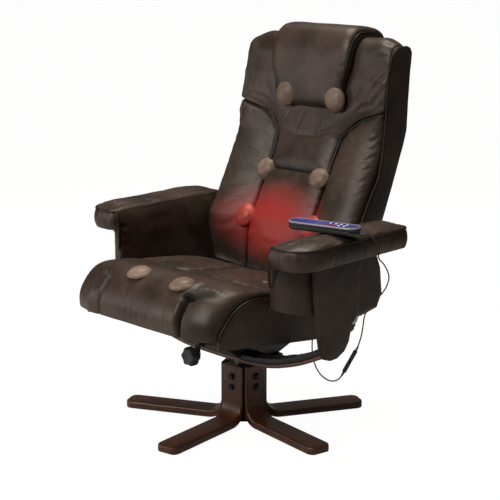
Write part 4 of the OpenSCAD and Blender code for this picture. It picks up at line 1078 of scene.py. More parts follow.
def build_back():
    """The four pads of the back with their piping."""
    seam = BACK["seam"]
    gap = 0.3

    def wide(s):
        """Half width of the middle pads."""
        return np.minimum(channel_x(s), BACK["half"]) - gap

    def deep(s):
        """Depth of the seam beside the middle pads."""
        return pad_depth(s) - seam

    lower = back_pad("lower_pad_cover", 0.051, 0.479, lambda s: -wide(s), wide, deep, deep,
                     54, 74, LOWER_PAD_FOLDS, 1, warm=True)
    place(lower, "back", "pad_leather", finish("painted_glow_pad"), ["lower_pad"])

    upper = wing_pad(wide)
    place(upper, "back", "pad_leather", finish("pad"), ["upper_pad"])

    def outer_edge(s):
        """Depth of a bolster's outer edge over the boards."""
        return np.maximum(4, face_y(s) + pad_depth(s) - piping_y(s) - 20)

    def over_side(X, Z):
        """How far the left bolster bulges out over its side panel, across and to the front."""
        lean = smooth(-120, -215, X) * smooth(842, 790, Z) * smooth(380, 520, Z)
        return -21 * lean, -22 * lean

    for k, tag in ((1, "right"), (-1, "left")):
        ends = [lambda s: np.minimum(channel_x(s), 244) + 1.2, lambda s: 0 * s + 253]
        if k == 1:
            inner, outer = ends
        else:
            inner, outer = (lambda s: -ends[1](s)), (lambda s: -ends[0](s))
        edges = (deep, outer_edge) if k == 1 else (outer_edge, deep)
        lines = [([(k * x, z) for x, z in points], deep_by, wide_by)
                 for points, deep_by, wide_by in BOLSTER_FOLDS]
        pad = back_pad(f"bolster_{tag}_cover", 0.051, 0.745, inner, outer, *edges, 42, 120, lines,
                       3 + k, reach=70.0, warm=True, lean=over_side if k == -1 else None)
        place(pad, "back", "pad_leather", finish("painted_glow_pad"), [f"bolster_{tag}"])

    # Double piping that sweeps from the outer edge of each bolster into its channel
    lines = []
    s = np.linspace(0.43, 0.742, 90)
    for k in (1, -1):
        for shift, rise, out in ((-5.0, 3.0, 10.5), (2.6, -3.0, 9.5)):
            x = channel_x(s) + shift * smooth(0.43, 0.56, s)
            z = back_z(s) + rise * smooth(0.62, 0.7, s)
            x = np.minimum(x, 252)
            y = face_y(s) + seam - out * smooth(0.42, 0.55, s)
            lines.append(np.stack([k * x, y, z], 1))
    welt = tubes("bolster_piping", [resample(line, 5, False) for line in lines],
                 size_mm("bolster_piping"), 12)
    place(welt, "back", "pad_leather", finish("piping"))

    # Thin piping up the front edge of each side panel
    thin = []
    s = np.linspace(0.0, 0.985, 150)
    for k in (1, -1):
        shy = 14 * smooth(660, 800, back_z(s)) if k < 0 else 0 * s
        thin.append(np.stack([np.full(len(s), k * 261.0), piping_y(s) - 1.0 + shy, back_z(s)], 1))
    edge = tubes("back_edge_piping", [resample(line, 6, False) for line in thin],
                 size_mm("edge_piping"))
    place(edge, "back", "panel_leather", finish("piping"))


def headrest_rings(rows, cells):
    """Rings of the headrest pillow, wrapped round top, walls and underside."""
    t = np.linspace(0, 1, rows + 1)
    under = catmull(back_yz(HEAD_UNDER), t)
    way = catmull(HEAD_EDGE, t) * 20
    size = np.linalg.norm(way, axis=1)
    out = unit(way)
    half = BACK["outer"] * catmull(HEAD_HALF, t)[:, 0] + 1
    puff = 20 * catmull(HEAD_PUFF, t)[:, 0]
    under[:, 0] += 0.16 * np.maximum(under[:, 0] - 300, 0)
    u = spread(cells, 0.5)
    rings, crease = [], []
    run = run_of(under)
    for i in range(rows + 1):
        X = u * half[i]
        near = half[i] - np.abs(X)
        swell = pillow(1 - np.minimum(near, 34) / 34, 2.4, 0.55)
        h = size[i] + puff[i] * swell + 0.5 * blotch(X, run[i] + 0 * X, 31, 90) \
            + 0.5 * ripple(run[i] + 0 * X, 8, 24) * bump(near - 8, 8)
        y = under[i, 0] + out[i, 0] * h
        z = under[i, 1] + out[i, 1] * h
        bulge = 4.5 * min(1, size[i] / 16)
        crinkle = 1.5 * float(ripple(np.array([run[i]]), 61, 11)[0])
        top = np.stack([X, y, z], 1)
        sides = []
        for share, push in ((0.82, 0.55), (0.6, 0.95), (0.35, 1.0), (0.12, 0.7)):
            hh = size[i] * share
            sides.append((under[i, 0] + out[i, 0] * hh, under[i, 1] + out[i, 1] * hh,
                          push * (bulge + crinkle * math.cos(share * 7))))
        right = [[half[i] + p, a, b] for a, b, p in sides]
        low = [[x, under[i, 0] + out[i, 0] * 0.3, under[i, 1] + out[i, 1] * 0.3]
               for x in np.linspace(half[i] - 1, -half[i] + 1, 9)]
        left = [[-half[i] - p, a, b] for a, b, p in sides[::-1]]
        rings.append(np.concatenate([top, right, low, left]))
        # Painted shade: near the side edges of the top, 0.75 over the side walls and full over the
        # underside
        dark = bump(near, 3.0)
        crease.append(np.concatenate([dark, np.full(4, 0.75), np.ones(9), np.full(4, 0.75)]))
    return np.array(rings), np.array(crease)


def build_headrest():
    """Headrest pillow that hangs over the top of the back, with piping round its front."""
    rings, crease = headrest_rings(190, 90)
    pillow_piece = rings_mesh("headrest_cover", rings, {"crease": crease})
    place(pillow_piece, "back", "pad_leather", finish("pad"), ["headrest"])
    lines = [rings[6:180, 0], rings[6:180, 90]]
    welt = tubes("headrest_piping", [resample(line, 5) for line in lines], size_mm("headrest_piping"))
    place(welt, "back", "pad_leather", finish("piping"))


def build_back_shell():
    """Leather side panels and rear panel of the back."""
    top = BACK["base"] + BACK["rise"]
    for s, tag in ((1, "right"), (-1, "left")):
        front = back_yz(BACK_FRONT[:-1] + [(0.695, 0.968), (0.722, 0.994), (0.765, 1.007)])
        rear = back_yz(BACK_REAR[:-1] + [(0.99, 0.98), (0.96, 1.002), (0.91, 1.009)]) + (3, 0)
        if s < 0:
            late = smooth(660, 800, front[:, 1])
            front = front + np.stack([14 * late, -9 * smooth(880, 960, front[:, 1])], 1)
        panel = side_panel(f"back_side_panel_{tag}", front, rear, s * BACK["half"],
                           s * BACK["outer"], 4.0, 3.0, s * 5, 120, 36, BACK_SIDE_FOLDS)
        place(panel, "back", "panel_leather", finish("panel"), [f"back_side_{tag}"])
    # Rear panel: grid across and down, wrapped over the top
    v = np.linspace(0, 1, 110)
    rear = even(back_yz([(0.985, 0.975)] + BACK_REAR[-2::-1]), 109)
    u = spread(60, 0.5)
    X = u[None] * (BACK["half"] - 0.3) + 0 * v[:, None]
    side = BACK["half"] - np.abs(X)
    nrm = np.gradient(rear, axis=0)
    nrm = unit(np.stack([-nrm[:, 1], nrm[:, 0]], 1))
    if nrm[:, 0].sum() < 0:
        nrm = -nrm
    corner = np.maximum(0, BACK["corner"] - side)
    fall = BACK["corner"] - np.sqrt(np.maximum(0, BACK["corner"] ** 2 - corner ** 2))
    Z = np.minimum(rear[:, 1][:, None] + 0 * X, top - fall)
    soft = 3.0 * (1 - np.exp(-side / 30)) * smooth(0, 40, Z - BACK["base"]) \
        + 0.8 * blotch(X, Z, 44, 160) * smooth(0, 40, side)
    outer = np.stack([X, rear[:, 0][:, None] + nrm[:, 0][:, None] * soft,
                      Z + nrm[:, 1][:, None] * soft * 0.6], -1)
    inner = outer.copy()
    inner[..., 1] -= nrm[:, 0][:, None] * 6.0
    inner[..., 2] -= nrm[:, 1][:, None] * 6.0
    points, quads = shell(outer, inner)
    # Painted shade along the rear panel's sides
    panel = make_mesh("back_rear_panel_cover", points, quads, {"crease": on_top(bump(side, 3) * 0.6, 0)})
    place(panel, "back", "panel_leather", finish("panel"), ["back_rear_panel"])


# Arms

def rounded_plan(in_x, out_x, front, rear, corners, n=400):
    """Outline of an arm pad in plan, from its inner rear corner round the front."""
    in_f, out_f, out_r, in_r = corners
    points = []
    for cx, cy, r, start in ((in_x + in_r, rear - in_r, in_r, 90),
                             (in_x + in_f, front + in_f, in_f, 180),
                             (out_x - out_f, front + out_f, out_f, 270),
                             (out_x - out_r, rear - out_r, out_r, 0)):
        for a in np.radians(np.linspace(start, start + 90, 14)):
            points.append((cx + r * math.cos(a), cy + r * math.sin(a)))
    points.append(points[0])
    return even(np.array(points), n)[:-1]


def arm_pad_piece(s, tag):
    """Crowned arm pad with piped walls; its leather hangs down the inner side of the box."""
    in_x, out_x = ARM["in_x"], ARM["in_x"] + ARM["wide"]
    front, rear = ARM["front"], ARM["front"] + ARM["long"]
    plan = rounded_plan(in_x, out_x, front, rear, (20, ARM["corner"], 24, 14))
    target = np.stack([np.full(len(plan), (in_x + out_x) / 2),
                       np.clip(plan[:, 1], front + 60, rear - 40)], 1)
    nrm = unit(np.roll(plan, -1, 0) - np.roll(plan, 1, 0))
    nrm = np.stack([nrm[:, 1], -nrm[:, 0]], 1)
    if ((plan - target) * nrm).sum() < 0:
        nrm = -nrm
    run = run_of(plan)
    y = plan[:, 1]
    inner = smooth(in_x + 16, in_x + 3, plan[:, 0])
    skirt = inner * smooth(front + 6, front + 26, y) * smooth(rear - 4, rear - 20, y)
    foot = -ARM["drop"] * look((y - front) / ARM["long"], SKIRT_FOOT)
    base = arm_under(y) + 0.5
    high = ARM["high"] - 0.5
    rings, crease = [], []

    def add(x, yy, z, dark):
        """Adds one ring of the pad and how creased its leather is there, which also darkens it with
        painted shade.
        """
        rings.append(np.stack([s * x, yy, z], 1))
        crease.append(dark + 0 * x)

    # Painted shade: strong over the rings under the pad, weaker at the top edge and in the folds
    for push, hang in ((14, 0), (5, 1)):
        p = plan - nrm * push
        x = p[:, 0] * (1 - skirt * hang) + 283 * skirt * hang
        add(x, p[:, 1], base + skirt * hang * (foot + 3), 0.9)
    for f in (1 - np.cos(np.linspace(0, math.pi, 34))) / 2:
        arch = math.sin(math.pi * f)
        out = 6.0 * arch ** 0.75 - 0.5 + 0.9 * ripple(run, 3, 40) * arch
        bulge = 5 * inner * smooth(front + 60, front, y) * arch
        wall = plan + nrm * (out + bulge)[:, None]
        # The hanging leather: distance across and height over the pad's underside
        depths = np.unique(foot)
        hung = np.array([catmull([(277.8, low), (277.9, low * 0.72), (278.2, low * 0.42),
                                  (278.9, low * 0.14), (281.5, 10), (286.6, 33), (292.8, high - 1)],
                                 [f])[0] for low in depths])
        hx, hz = (np.interp(foot, depths, hung[:, k]) for k in (0, 1))
        hang_z = base + hz
        dent = folds(y, hang_z, SKIRT_FOLDS)
        hx = hx + dent - 1.2 * blotch(y, hang_z, 23, 120) * arch
        x = wall[:, 0] * (1 - skirt) + hx * skirt
        z = (base + high * f) * (1 - skirt) + hang_z * skirt
        add(x, wall[:, 1] * (1 - skirt) + y * skirt, z,
            (0.5 if f > 0.97 else 0.0) * (1 - skirt) + 0.14 * np.maximum(dent, 0))
    for f in (0.015, 0.03, 0.05, 0.075, 0.105, 0.14, 0.2, 0.28, 0.37, 0.47, 0.58, 0.69, 0.8, 0.9, 0.97):
        p = plan * (1 - f) + target * f
        rise = ARM["crown"] * pillow(1 - f, 2.2, 0.62)
        rise = rise * (0.35 + 0.65 * pillow(2 * (p[:, 1] - front) / ARM["long"] - 1, 4, 0.5))
        wave = 1.3 * ripple(run, 9 + s, 34) * math.exp(-((f - 0.12) / 0.1) ** 2) * (1 - skirt) \
            + 0.9 * blotch(p[:, 0], p[:, 1], 12, 90)
        dent = folds(p[:, 0], p[:, 1], ARM_TOP_FOLDS)
        add(p[:, 0], p[:, 1], base + high + rise + wave * smooth(0, 0.12, f) - dent,
            0.5 * (f < 0.03) * (1 - skirt) + 0.06 * np.maximum(dent, 0))
    pad = rings_mesh(f"arm_pad_{tag}_cover", rings, {"crease": np.clip(np.array(crease), 0, 1)})
    place(pad, "swivel", "pad_leather", finish("pad"), [f"arm_pad_{tag}"])

    # Piping up the front inner corner, round the top edge and to the rear
    keep = np.nonzero(skirt < 0.5)[0]
    gap = np.nonzero(np.diff(keep) > 1)[0]
    keep = np.concatenate([keep[gap[0] + 1:], keep[:gap[0] + 1]]) if len(gap) else keep
    edge = rings[35][keep] + (0, 0, 0.8)
    first = keep[0]
    corner = np.array([rings[k][first] for k in range(4, 35, 3)]) + (-1.5 * s, -1.5, 0)
    line = np.concatenate([corner, edge])
    if np.linalg.norm(corner[-1] - edge[0]) > 30:
        line = np.concatenate([edge, corner[::-1]])
    welt = tubes(f"arm_piping_{tag}", [resample(line, 4, False)], size_mm("arm_piping"))
    place(welt, "swivel", "pad_leather", finish("piping"))


def arm_box_piece(s, tag):
    """Upholstered box under an arm pad: soft skin with puckers at its nose."""
    outline = arm_yz(BOX_SIDE)
    outline = even(np.concatenate([outline, outline[:1]]), 260)[:-1]
    centre = outline.mean(0) + (10, 20)
    round_it = np.arctan2(outline[:, 1] - centre[1], outline[:, 0] - centre[0]) * 90
    radius, wide = 8.0, ARM["box_w"]
    # Rings from the inner face over the rim to the outer face: size, and share of the width
    steps = [(size, 0.0) for size in (0.02, 0.3, 0.6, 0.8, 0.93)]
    steps += [(1.0, share) for share in np.linspace(0, 1, 12)]
    steps += [(size, 1.0) for size in (0.93, 0.8, 0.6, 0.3, 0.02)]
    rings = []
    for size, share in steps:
        edge = min(share, 1 - share) * wide
        inset = radius - math.sqrt(max(0, radius ** 2 - max(0, radius - edge) ** 2))
        p = centre + (outline - centre) * size + unit(centre - outline) * inset
        # The nose is cut slantwise in plan
        nose = ARM["box_front"] + 52 * look(share, BOX_NOSE)
        depth = p[:, 0] - nose
        y = np.where(depth < 12, nose + 12 * np.exp(np.minimum(depth - 12, 0) / 12), p[:, 0])
        if size == 1:
            y = y + 0.42 * ripple(round_it + share * 30, 21, 26) * math.sin(math.pi * share)
        across = ARM["box_x"] + share * wide - (0.4 if size < 1 and share == 1 else 0)
        rings.append(np.stack([np.full(len(p), s * across), y, p[:, 1]], 1))
    box = rings_mesh(f"arm_box_{tag}_cover", rings, {"crease": np.zeros((len(rings), len(outline)))})
    place(box, "swivel", "panel_leather", finish("panel"), [f"arm_box_{tag}"])


def build_arms():
    """Arm pads, boxes and the outer leaves that hide their brackets."""
    for s, tag in ((1, "right"), (-1, "left")):
        arm_pad_piece(s, tag)
        arm_box_piece(s, tag)
        front = arm_yz(LEAF_SIDE[:7])
        rear = arm_yz(LEAF_SIDE[:6:-1])
        x0 = ARM["leaf_x"]
        leaf = side_panel(f"arm_leaf_{tag}_cover", front, rear, s * x0, s * (x0 + ARM["leaf_t"]),
                          6.0, 1.6, s * 9, 90, 40)
        place(leaf, "swivel", "panel_leather", finish("panel"), [f"arm_leaf_{tag}"])


# Base

def leg_rings():
    """Rings of one bent leg that reaches along +X, swept from its top to its tip."""
    bend = LEG["thick"] + LEG["bend"]
    mid = LEG["bend"] + LEG["thick"] / 2
    cx, cz = LEG["flat"] + bend, LEG["lift"] + bend
    path, out = [], []
    for z in np.concatenate([LEG["top"] - np.array([0, 0.4, 1.5, 3.5]), np.linspace(150, cz, 12)]):
        path.append((cx - mid, z))
        out.append((1.0, 0.0))
    for a in np.radians(np.linspace(180, 270, 22))[1:]:
        path.append((cx + mid * math.cos(a), cz + mid * math.sin(a)))
        out.append((-math.cos(a), -math.sin(a)))
    end = LEG["reach"]
    for x in np.concatenate([np.linspace(cx + 12, end - 40, 18),
                             end - np.array([30, 24, 19, 15, 11.5, 8.5, 6, 4, 2.4, 1.2, 0.4, 0.0])]):
        path.append((x, LEG["lift"] + LEG["thick"] / 2))
        out.append((0.0, 1.0))
    path, out = np.array(path, float), np.array(out, float)
    rings, grain = [], []
    run = run_of(path)
    for k, (p, o) in enumerate(zip(path, out)):
        to_tip = end - p[0] if p[1] < cz - 20 and p[0] > cx else 1e3
        r = LEG["tip"]
        wide = LEG["wide"] / 2 - (r - math.sqrt(max(0, r * r - (r - to_tip) ** 2)) if to_tip < r else 0)
        thick = LEG["thick"] / 2
        if to_tip < 6:
            fall = 6 - math.sqrt(max(0, 36 - (6 - to_tip) ** 2))
            thick -= fall * 0.62
            wide -= fall * 0.5
        top = LEG["top"] - p[1]
        if k < 4 and top < 3:
            shrink = 3 - math.sqrt(max(0, 9 - (3 - top) ** 2))
            thick -= shrink * 0.7
            wide -= shrink * 0.7
        pts, tags = [], []
        for side_n, side_w, start, r in ((1, 1, 0, 5.0), (1, -1, 90, 5.0), (-1, -1, 180, 2.0),
                                         (-1, 1, 270, 2.0)):
            r = min(r, thick * 0.9, wide * 0.9)
            for a in np.radians(np.linspace(start, start + 90, 7)):
                n = side_n * (thick - r) + r * math.sin(a)
                w = side_w * (wide - r) + r * math.cos(a)
                x, z = p + o * n
                # Neighbouring legs are mitred against each other
                limit = (x - LEG["gap"] / math.sin(math.pi / 5)) * math.tan(math.pi / 5)
                pts.append((x, max(-limit, min(limit, w)), z))
                tags.append((n, w, run[k]))
        rings.append(pts)
        grain.append(tags)
    return np.array(rings), np.array(grain)


# Bolt from its foot to its dished middle: radius in millimetres or share of the head, height
BOLT_PROFILE = [(0.01, 0, "washer"), (9.6, 0, "washer"), (10, 0.5, "washer"), (9.6, 1.3, "washer"),
                (8.6, 1.6, "washer"), (1.0, 1.6, "head"), (1.03, 2.2, "head"), (1.03, 5.2, "head"),
                (0.95, 6.2, "head"), (0.8, 6.6, "dish"), (0.4, 6.65, "dish"), (0.3, 5.9, "dish"),
                (0.01, 5.9, "dish")]


def build_legs():
    """Five bent legs, repeated round the hub by a node tree, with their bolts."""
    rings, grain = leg_rings()
    one = rings_mesh("leg_shape", rings, {"grain": grain * MM})
    legs = repeat_round("bentwood_legs", one, finish("wood"), LEG["turn"], [0.0])
    place(legs, "base", "leg_wood", finish("wood"), [f"leg_{k}" for k in range(1, 6)])

    # Bolt: washer with a rolled edge and a chamfered hexagon head
    face = LEG["flat"] + LEG["thick"] - 0.1
    turn = np.linspace(0, 2 * math.pi, 48, endpoint=False)
    hexed = 7.0 / np.maximum(np.abs(np.cos((turn % (math.pi / 3)) - math.pi / 6)), 0.5) * 0.93
    bolt_rings = []
    for r, up, kind in BOLT_PROFILE:
        radius = {"washer": np.full(48, r), "head": hexed * r, "dish": np.full(48, 7.0 * r)}[kind]
        bolt_rings.append(np.stack([np.full(48, face + up), radius * np.cos(turn),
                                    radius * np.sin(turn)], 1))
    bolt = rings_mesh("bolt_shape", bolt_rings)
    heights = [LEG["top"] - LEG["wide"] * share for share in (0.46, 0.9)]
    bolts = repeat_round("leg_bolt_heads", bolt, finish("bolt"), LEG["turn"], heights)
    place(bolts, "base", "bolt_black", finish("bolt"), ["leg_bolts"])


def repeat_round(name, shape, coat, turn, heights, count=5):
    """Copies of a shape round the Z axis at some heights, made by Geometry Nodes into one mesh."""
    tree = bpy.data.node_groups.new(name + "_tree", "GeometryNodeTree")
    inputs = {"Count": ("Int", count), "Turn": ("Float", float(turn)),
              "Low height": ("Float", min(heights) * MM), "High height": ("Float", max(heights) * MM),
              "Levels": ("Int", len(heights)), "Shape": ("Object", shape), "Finish": ("Material", coat)}
    sockets = {}
    tree.interface.new_socket("Geometry", in_out="INPUT", socket_type="NodeSocketGeometry")
    for label, (kind, _) in inputs.items():
        made = tree.interface.new_socket(label, in_out="INPUT", socket_type="NodeSocket" + kind)
        sockets[label] = made.identifier
    tree.interface.new_socket("Geometry", in_out="OUTPUT", socket_type="NodeSocketGeometry")
    given = tree.nodes.new("NodeGroupInput").outputs
    end = tree.nodes.new("NodeGroupOutput")

    def add(kind, links, output=0, **settings):
        """Output of a new node whose inputs are links or numbers."""
        made = tree.nodes.new(kind)
        for key, value in settings.items():
            setattr(made, key, value)
        for key, value in links.items():
            if isinstance(value, float):
                made.inputs[key].default_value = value
            else:
                tree.links.new(value, made.inputs[key])
        return made.outputs[output]

    # Copies above each other on a line
    low = add("ShaderNodeCombineXYZ", {"Z": given["Low height"]})
    high = add("ShaderNodeCombineXYZ", {"Z": given["High height"]})
    line = add("GeometryNodeMeshLine", {"Count": given["Levels"], "Start Location": low, "Offset": high},
               mode="END_POINTS")
    one = add("GeometryNodeObjectInfo", {"Object": given["Shape"]}, "Geometry")
    pillar = add("GeometryNodeInstanceOnPoints", {"Points": line, "Instance": one})
    pillar = add("GeometryNodeRealizeInstances", {0: pillar})

    # The line turned round the axis
    spots = add("GeometryNodePoints", {"Count": given["Count"]})
    pitch = add("ShaderNodeMath", {0: 2 * math.pi, 1: given["Count"]}, operation="DIVIDE")
    first = add("ShaderNodeMath", {0: given["Turn"]}, operation="RADIANS")
    angle = add("ShaderNodeMath", {0: add("GeometryNodeInputIndex", {}), 1: pitch, 2: first},
                operation="MULTIPLY_ADD")
    spin = add("ShaderNodeCombineXYZ", {"Z": angle})
    ring = add("GeometryNodeInstanceOnPoints", {"Points": spots, "Instance": pillar, "Rotation": spin})
    ring = add("GeometryNodeRealizeInstances", {0: ring})
    painted = add("GeometryNodeSetMaterial", {"Geometry": ring, "Material": given["Finish"]})
    tree.links.new(painted, end.inputs[0])

    holder = new_object(name, bpy.data.meshes.new(name))
    step = holder.modifiers.new("Repeat", "NODES")
    step.node_group = tree
    for label, (_, value) in inputs.items():
        step[sockets[label]] = value
    bake(holder)
    bpy.data.objects.remove(shape)
    return holder


# Mechanism

def build_crossbar():
    """Crossbar in two layers: lacquered bent wood below, black crinkled cover on top."""
    mid = catmull([(a * BAR["end"], BAR["mid_z"] + b * BAR["climb"]) for a, b in BAR_LINE],
                  np.linspace(0, 1, 60))
    mid = mid[mid[:, 0] <= BAR["end"] - 0.2]
    line = np.concatenate([mid[::-1] * (-1, 1), mid[1:]])
    along = unit(np.gradient(line, axis=0))
    up = np.stack([-along[:, 1], along[:, 0]], 1)
    run = run_of(line)
    half, radius = BAR["wide"] / 2, 3.0
    for name, low, high, side, coat, slot_name, soft in (
            ("crossbar_core", -BAR["thick"] / 2, -2.5, half - 1, "wood", "leg_wood", 0.0),
            ("crossbar_cover", -3.0, BAR["thick"] / 2, half, "cover", "black_steel", 1.0)):
        rings, grain = [], []
        for k in range(len(line)):
            pts, tags = [], []
            for cy, cn, a0 in ((side, high, 0), (-side, high, 90), (-side, low, 180), (side, low, 270)):
                for a in np.radians(np.linspace(a0, a0 + 90, 5)):
                    y = cy - math.copysign(radius, cy) + radius * math.cos(a)
                    n = (high - radius if cn == high else low + radius) + radius * math.sin(a)
                    n += soft * 0.9 * math.sin(run[k] * 0.21 + y * 0.19 + 2 * math.sin(run[k] * 0.07)) \
                        * (1 if cn == high else 0.2)
                    p = line[k] + up[k] * n
                    pts.append((p[0], BAR["y"] + y, p[1]))
                    tags.append((y, n, run[k]))
            rings.append(pts)
            grain.append(tags)
        rings = np.array(rings)
        rings[:, :, 0] = np.clip(rings[:, :, 0], -BAR["end"], BAR["end"])
        piece = rings_mesh(name, rings, {"grain": np.array(grain) * MM})
        place(piece, "swivel", slot_name, finish(coat), ["crossbar"] if coat == "cover" else ())


# Knob from its rear round its rim to its dished face: distance behind the face, share of the radius
KNOB_PROFILE = [(27, 0.02), (27, 0.5), (27, 0.82), (26.2, 0.9), (24.5, 0.955), (21, 0.985), (14, 1.0),
                (7, 0.985), (3.2, 0.95), (1.0, 0.88), (0.1, 0.8), (0, 0.7), (0.5, 0.5), (1.6, 0.3),
                (2.2, 0.15), (2.3, 0.02)]
KNOB = {"face_y": -204.0, "z": 215.0, "radius": 26, "lobes": 6, "valley": 2.1}


def build_knob():
    """Six-lobed tension knob with rounded lobes and a dished face."""
    turn = np.linspace(0, 2 * math.pi, 96, endpoint=False)
    lobe = np.cos(KNOB["lobes"] * turn)
    rings = []
    for back, share in KNOB_PROFILE:
        depth = KNOB["valley"] * smooth(0.5, 0.9, share)
        r = KNOB["radius"] * share - depth * (1 - lobe) * 0.9
        rings.append(np.stack([r * np.cos(turn), np.full(96, KNOB["face_y"] + back),
                               KNOB["z"] + r * np.sin(turn)], 1))
    knob = rings_mesh("tension_knob", rings)
    place(knob, "knob", "knob_plastic", finish("knob"), ["knob"])


def paint_frame():
    """Gives every CAD node that stays visible its own finish."""
    coats = {
        "black_steel": ["hub_post", "mechanism_frame", "arm_uprights"],
        "bare_steel": ["thrust_bearing", "slide_rails", "recline_pins", "arm_studs", "knob_screw",
                       "seat_runners", "hinge_plates"],
        "bolt": ["spindle"], "rubber": ["foot_glides"], "black_plastic": ["control_box"],
        "plywood": ["seat_battens", "seat_board", "back_slats"], "heater": ["lumbar_heater"],
        "motor": ["seat_motors", "lumbar_motors", "middle_motors", "head_motors"],
        "panel_blue": ["handset_panel"], "key_red": ["key_1", "key_3"],
        "key_white": ["key_2", "key_4", "key_5", "key_6", "key_7", "key_8"],
    }
    for coat, names in coats.items():
        for name in names:
            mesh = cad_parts[name].data
            mesh.materials.clear()
            mesh.materials.append(finish(coat))
            for face in mesh.polygons:
                face.material_index = 0


# Handset and cords

HANDSET = {"long": 194.0, "wide": 52.0, "x": 322, "y": -41, "turn": 13, "dark": 16.5}
# Sections of the casing and of the rim: margin from the outline, height
CASING_PROFILE = [(24, 0.2), (12, 0.2), (5.5, 0.2), (3.6, 0.9), (2.3, 2.4), (1.7, 4.5), (1.5, 8),
                  (1.5, 10.4), (1.9, 10.9), (6, 10.9), (8, 9), (24, 9)]
RIM_PROFILE = [(2.8, 11.2), (0.6, 11.2), (0.1, 11.8), (0, 13), (0, 17.5), (0.25, 19.2), (0.9, 20.5),
               (1.7, 21), (2.4, 20.9), (2.9, 20.5), (3.05, 19.5), (3.05, 12)]


def stadium(margin, n=96):
    """Outline of the handset in its own plan, drawn in by a margin."""
    r = HANDSET["wide"] / 2 - margin
    half = (HANDSET["long"] - HANDSET["wide"]) / 2
    turn = np.linspace(-math.pi / 2, math.pi / 2, n // 2)
    end = np.stack([half + r * np.cos(turn), r * np.sin(turn)], 1)
    return np.concatenate([end, -end])


def on_handset(points):
    """Turns points from the handset's own plan into their place on the arm."""
    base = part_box("handset_casing")[0].z / MM
    a = math.radians(HANDSET["turn"])
    p = np.asarray(points, float)
    return np.stack([HANDSET["x"] + p[..., 0] * math.cos(a) - p[..., 1] * math.sin(a),
                     HANDSET["y"] + p[..., 0] * math.sin(a) + p[..., 1] * math.cos(a),
                     base + p[..., 2]], -1)


def stadium_rings(steps):
    """Rings of the handset for pairs of margin and height."""
    return np.array([on_handset(np.insert(stadium(margin), 2, z, 1)) for margin, z in steps])


def build_handset():
    """Handset: dark lower casing, silver rim with rolled edges, and its blue keypad."""
    casing = rings_mesh("handset_lower_casing", stadium_rings(CASING_PROFILE))
    place(casing, "swivel", "black_plastic", finish("black_plastic"), ["handset_casing"])
    band = stadium_rings(RIM_PROFILE)
    n, m = band.shape[:2]
    seam, last = np.arange(m), (n - 1) * m
    closing = np.stack([last + seam, last + (seam + 1) % m, (seam + 1) % m, seam], 1)
    rim = make_mesh("handset_silver_rim", band, np.concatenate([grid_quads(n, m, wrap=True), closing]))
    place(rim, "swivel", "rim_plastic", finish("rim"), ["handset_rim"])
    rim.data.materials.append(finish("black_plastic"))
    dark_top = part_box("handset_casing")[0].z + HANDSET["dark"] * MM
    for face in rim.data.polygons:
        face.material_index = 1 if face.center.z < dark_top else 0

    # Thin divider across the keypad, to the right of the window
    bar = [on_handset([(-16 + 0.5 * math.cos(a), y, 20.35 + 0.3 * math.sin(a))
                       for a in np.linspace(0, 2 * math.pi, 8, endpoint=False)])
           for y in np.linspace(-21.5, 21.5, 12)]
    divider = rings_mesh("keypad_divider", bar)
    place(divider, "swivel", "rim_plastic", finish("rim"))


def cord_curve(name, route):
    """Cord as a curve of one open spline with a round section, and the points that it follows."""
    line = resample(route, 9.0)
    curve = bpy.data.curves.new(name, "CURVE")
    curve.dimensions = "3D"
    spline = curve.splines.new("POLY")
    spline.points.add(len(line) - 1)
    for point, spot in zip(spline.points, line):
        point.co = (*(spot * MM), 1)
    curve.bevel_depth = size_mm("cord_diameter") * MM / 2
    curve.bevel_resolution = 4
    curve.use_fill_caps = True
    return new_object(name, curve), line


def build_cords():
    """The two cords of the handset, with their ribbed connector and strain reliefs."""
    upper, line_a = cord_curve("handset_cord", CORD_A)
    place(upper, "swivel", "cord_rubber", finish("cord"), ["cord_to_handset"])
    lower, line_b = cord_curve("supply_cord", CORD_B)
    place(lower, "swivel", "cord_rubber", finish("cord"), ["cord_to_seat"])

    # Connector between them: distance along it, radius
    start, end = np.array(CORD_A[-1], float), np.array(CORD_B[0], float)
    way = unit(end - start)
    long = np.linalg.norm(end - start)
    steps = [(-3, 2.0), (-2.6, 2.3), (0, 2.5), (3, 2.3), (3.4, 2.8), (6, 2.7), (6.4, 2.3), (7, 3.0),
             (9.6, 2.9), (10, 2.5), (10.6, 3.3), (12, 3.4), (12.4, 4.9), (14, 5.5), (22, 5.6), (24, 5.2),
             (26, 5.6), (28, 5.2), (30, 5.6), (long / 2 - 12, 5.6), (long / 2 - 1.5, 5.3),
             (long / 2 - 0.6, 4.4), (long / 2 - 0.4, 1.0)]
    for name, near_start, nodes in (("cord_socket_half", True, ["cord_connector"]),
                                    ("cord_plug_half", False, [])):
        line = np.array([start + way * (a if near_start else long - a) for a, _ in steps])
        half = rings_mesh(name, tube_rings(line, [r for _, r in steps], 20))
        place(half, "swivel", "cord_rubber", finish("black_plastic"), nodes)

    for name, line in (("handset_strain_relief", line_a), ("gland_strain_relief", line_b[::-1])):
        way = unit(line[1] - line[0])
        spots = np.array([line[0] + way * a for a in (-4, -2, 0, 2, 2.4, 4, 4.4, 6, 6.4, 7.4)])
        rings = tube_rings(spots, [3.2, 3.3, 3.2, 3.0, 2.5, 2.9, 2.4, 2.7, 2.3, 2.0], 20)
        piece = rings_mesh(name, rings)
        place(piece, "swivel", "cord_rubber", finish("cord"))
    thick = size_mm("cord_diameter") * MM
    float(run_of(line_a)[-1]) * MM
    float(run_of(line_b)[-1]) * MM


# Discs over the massage motors

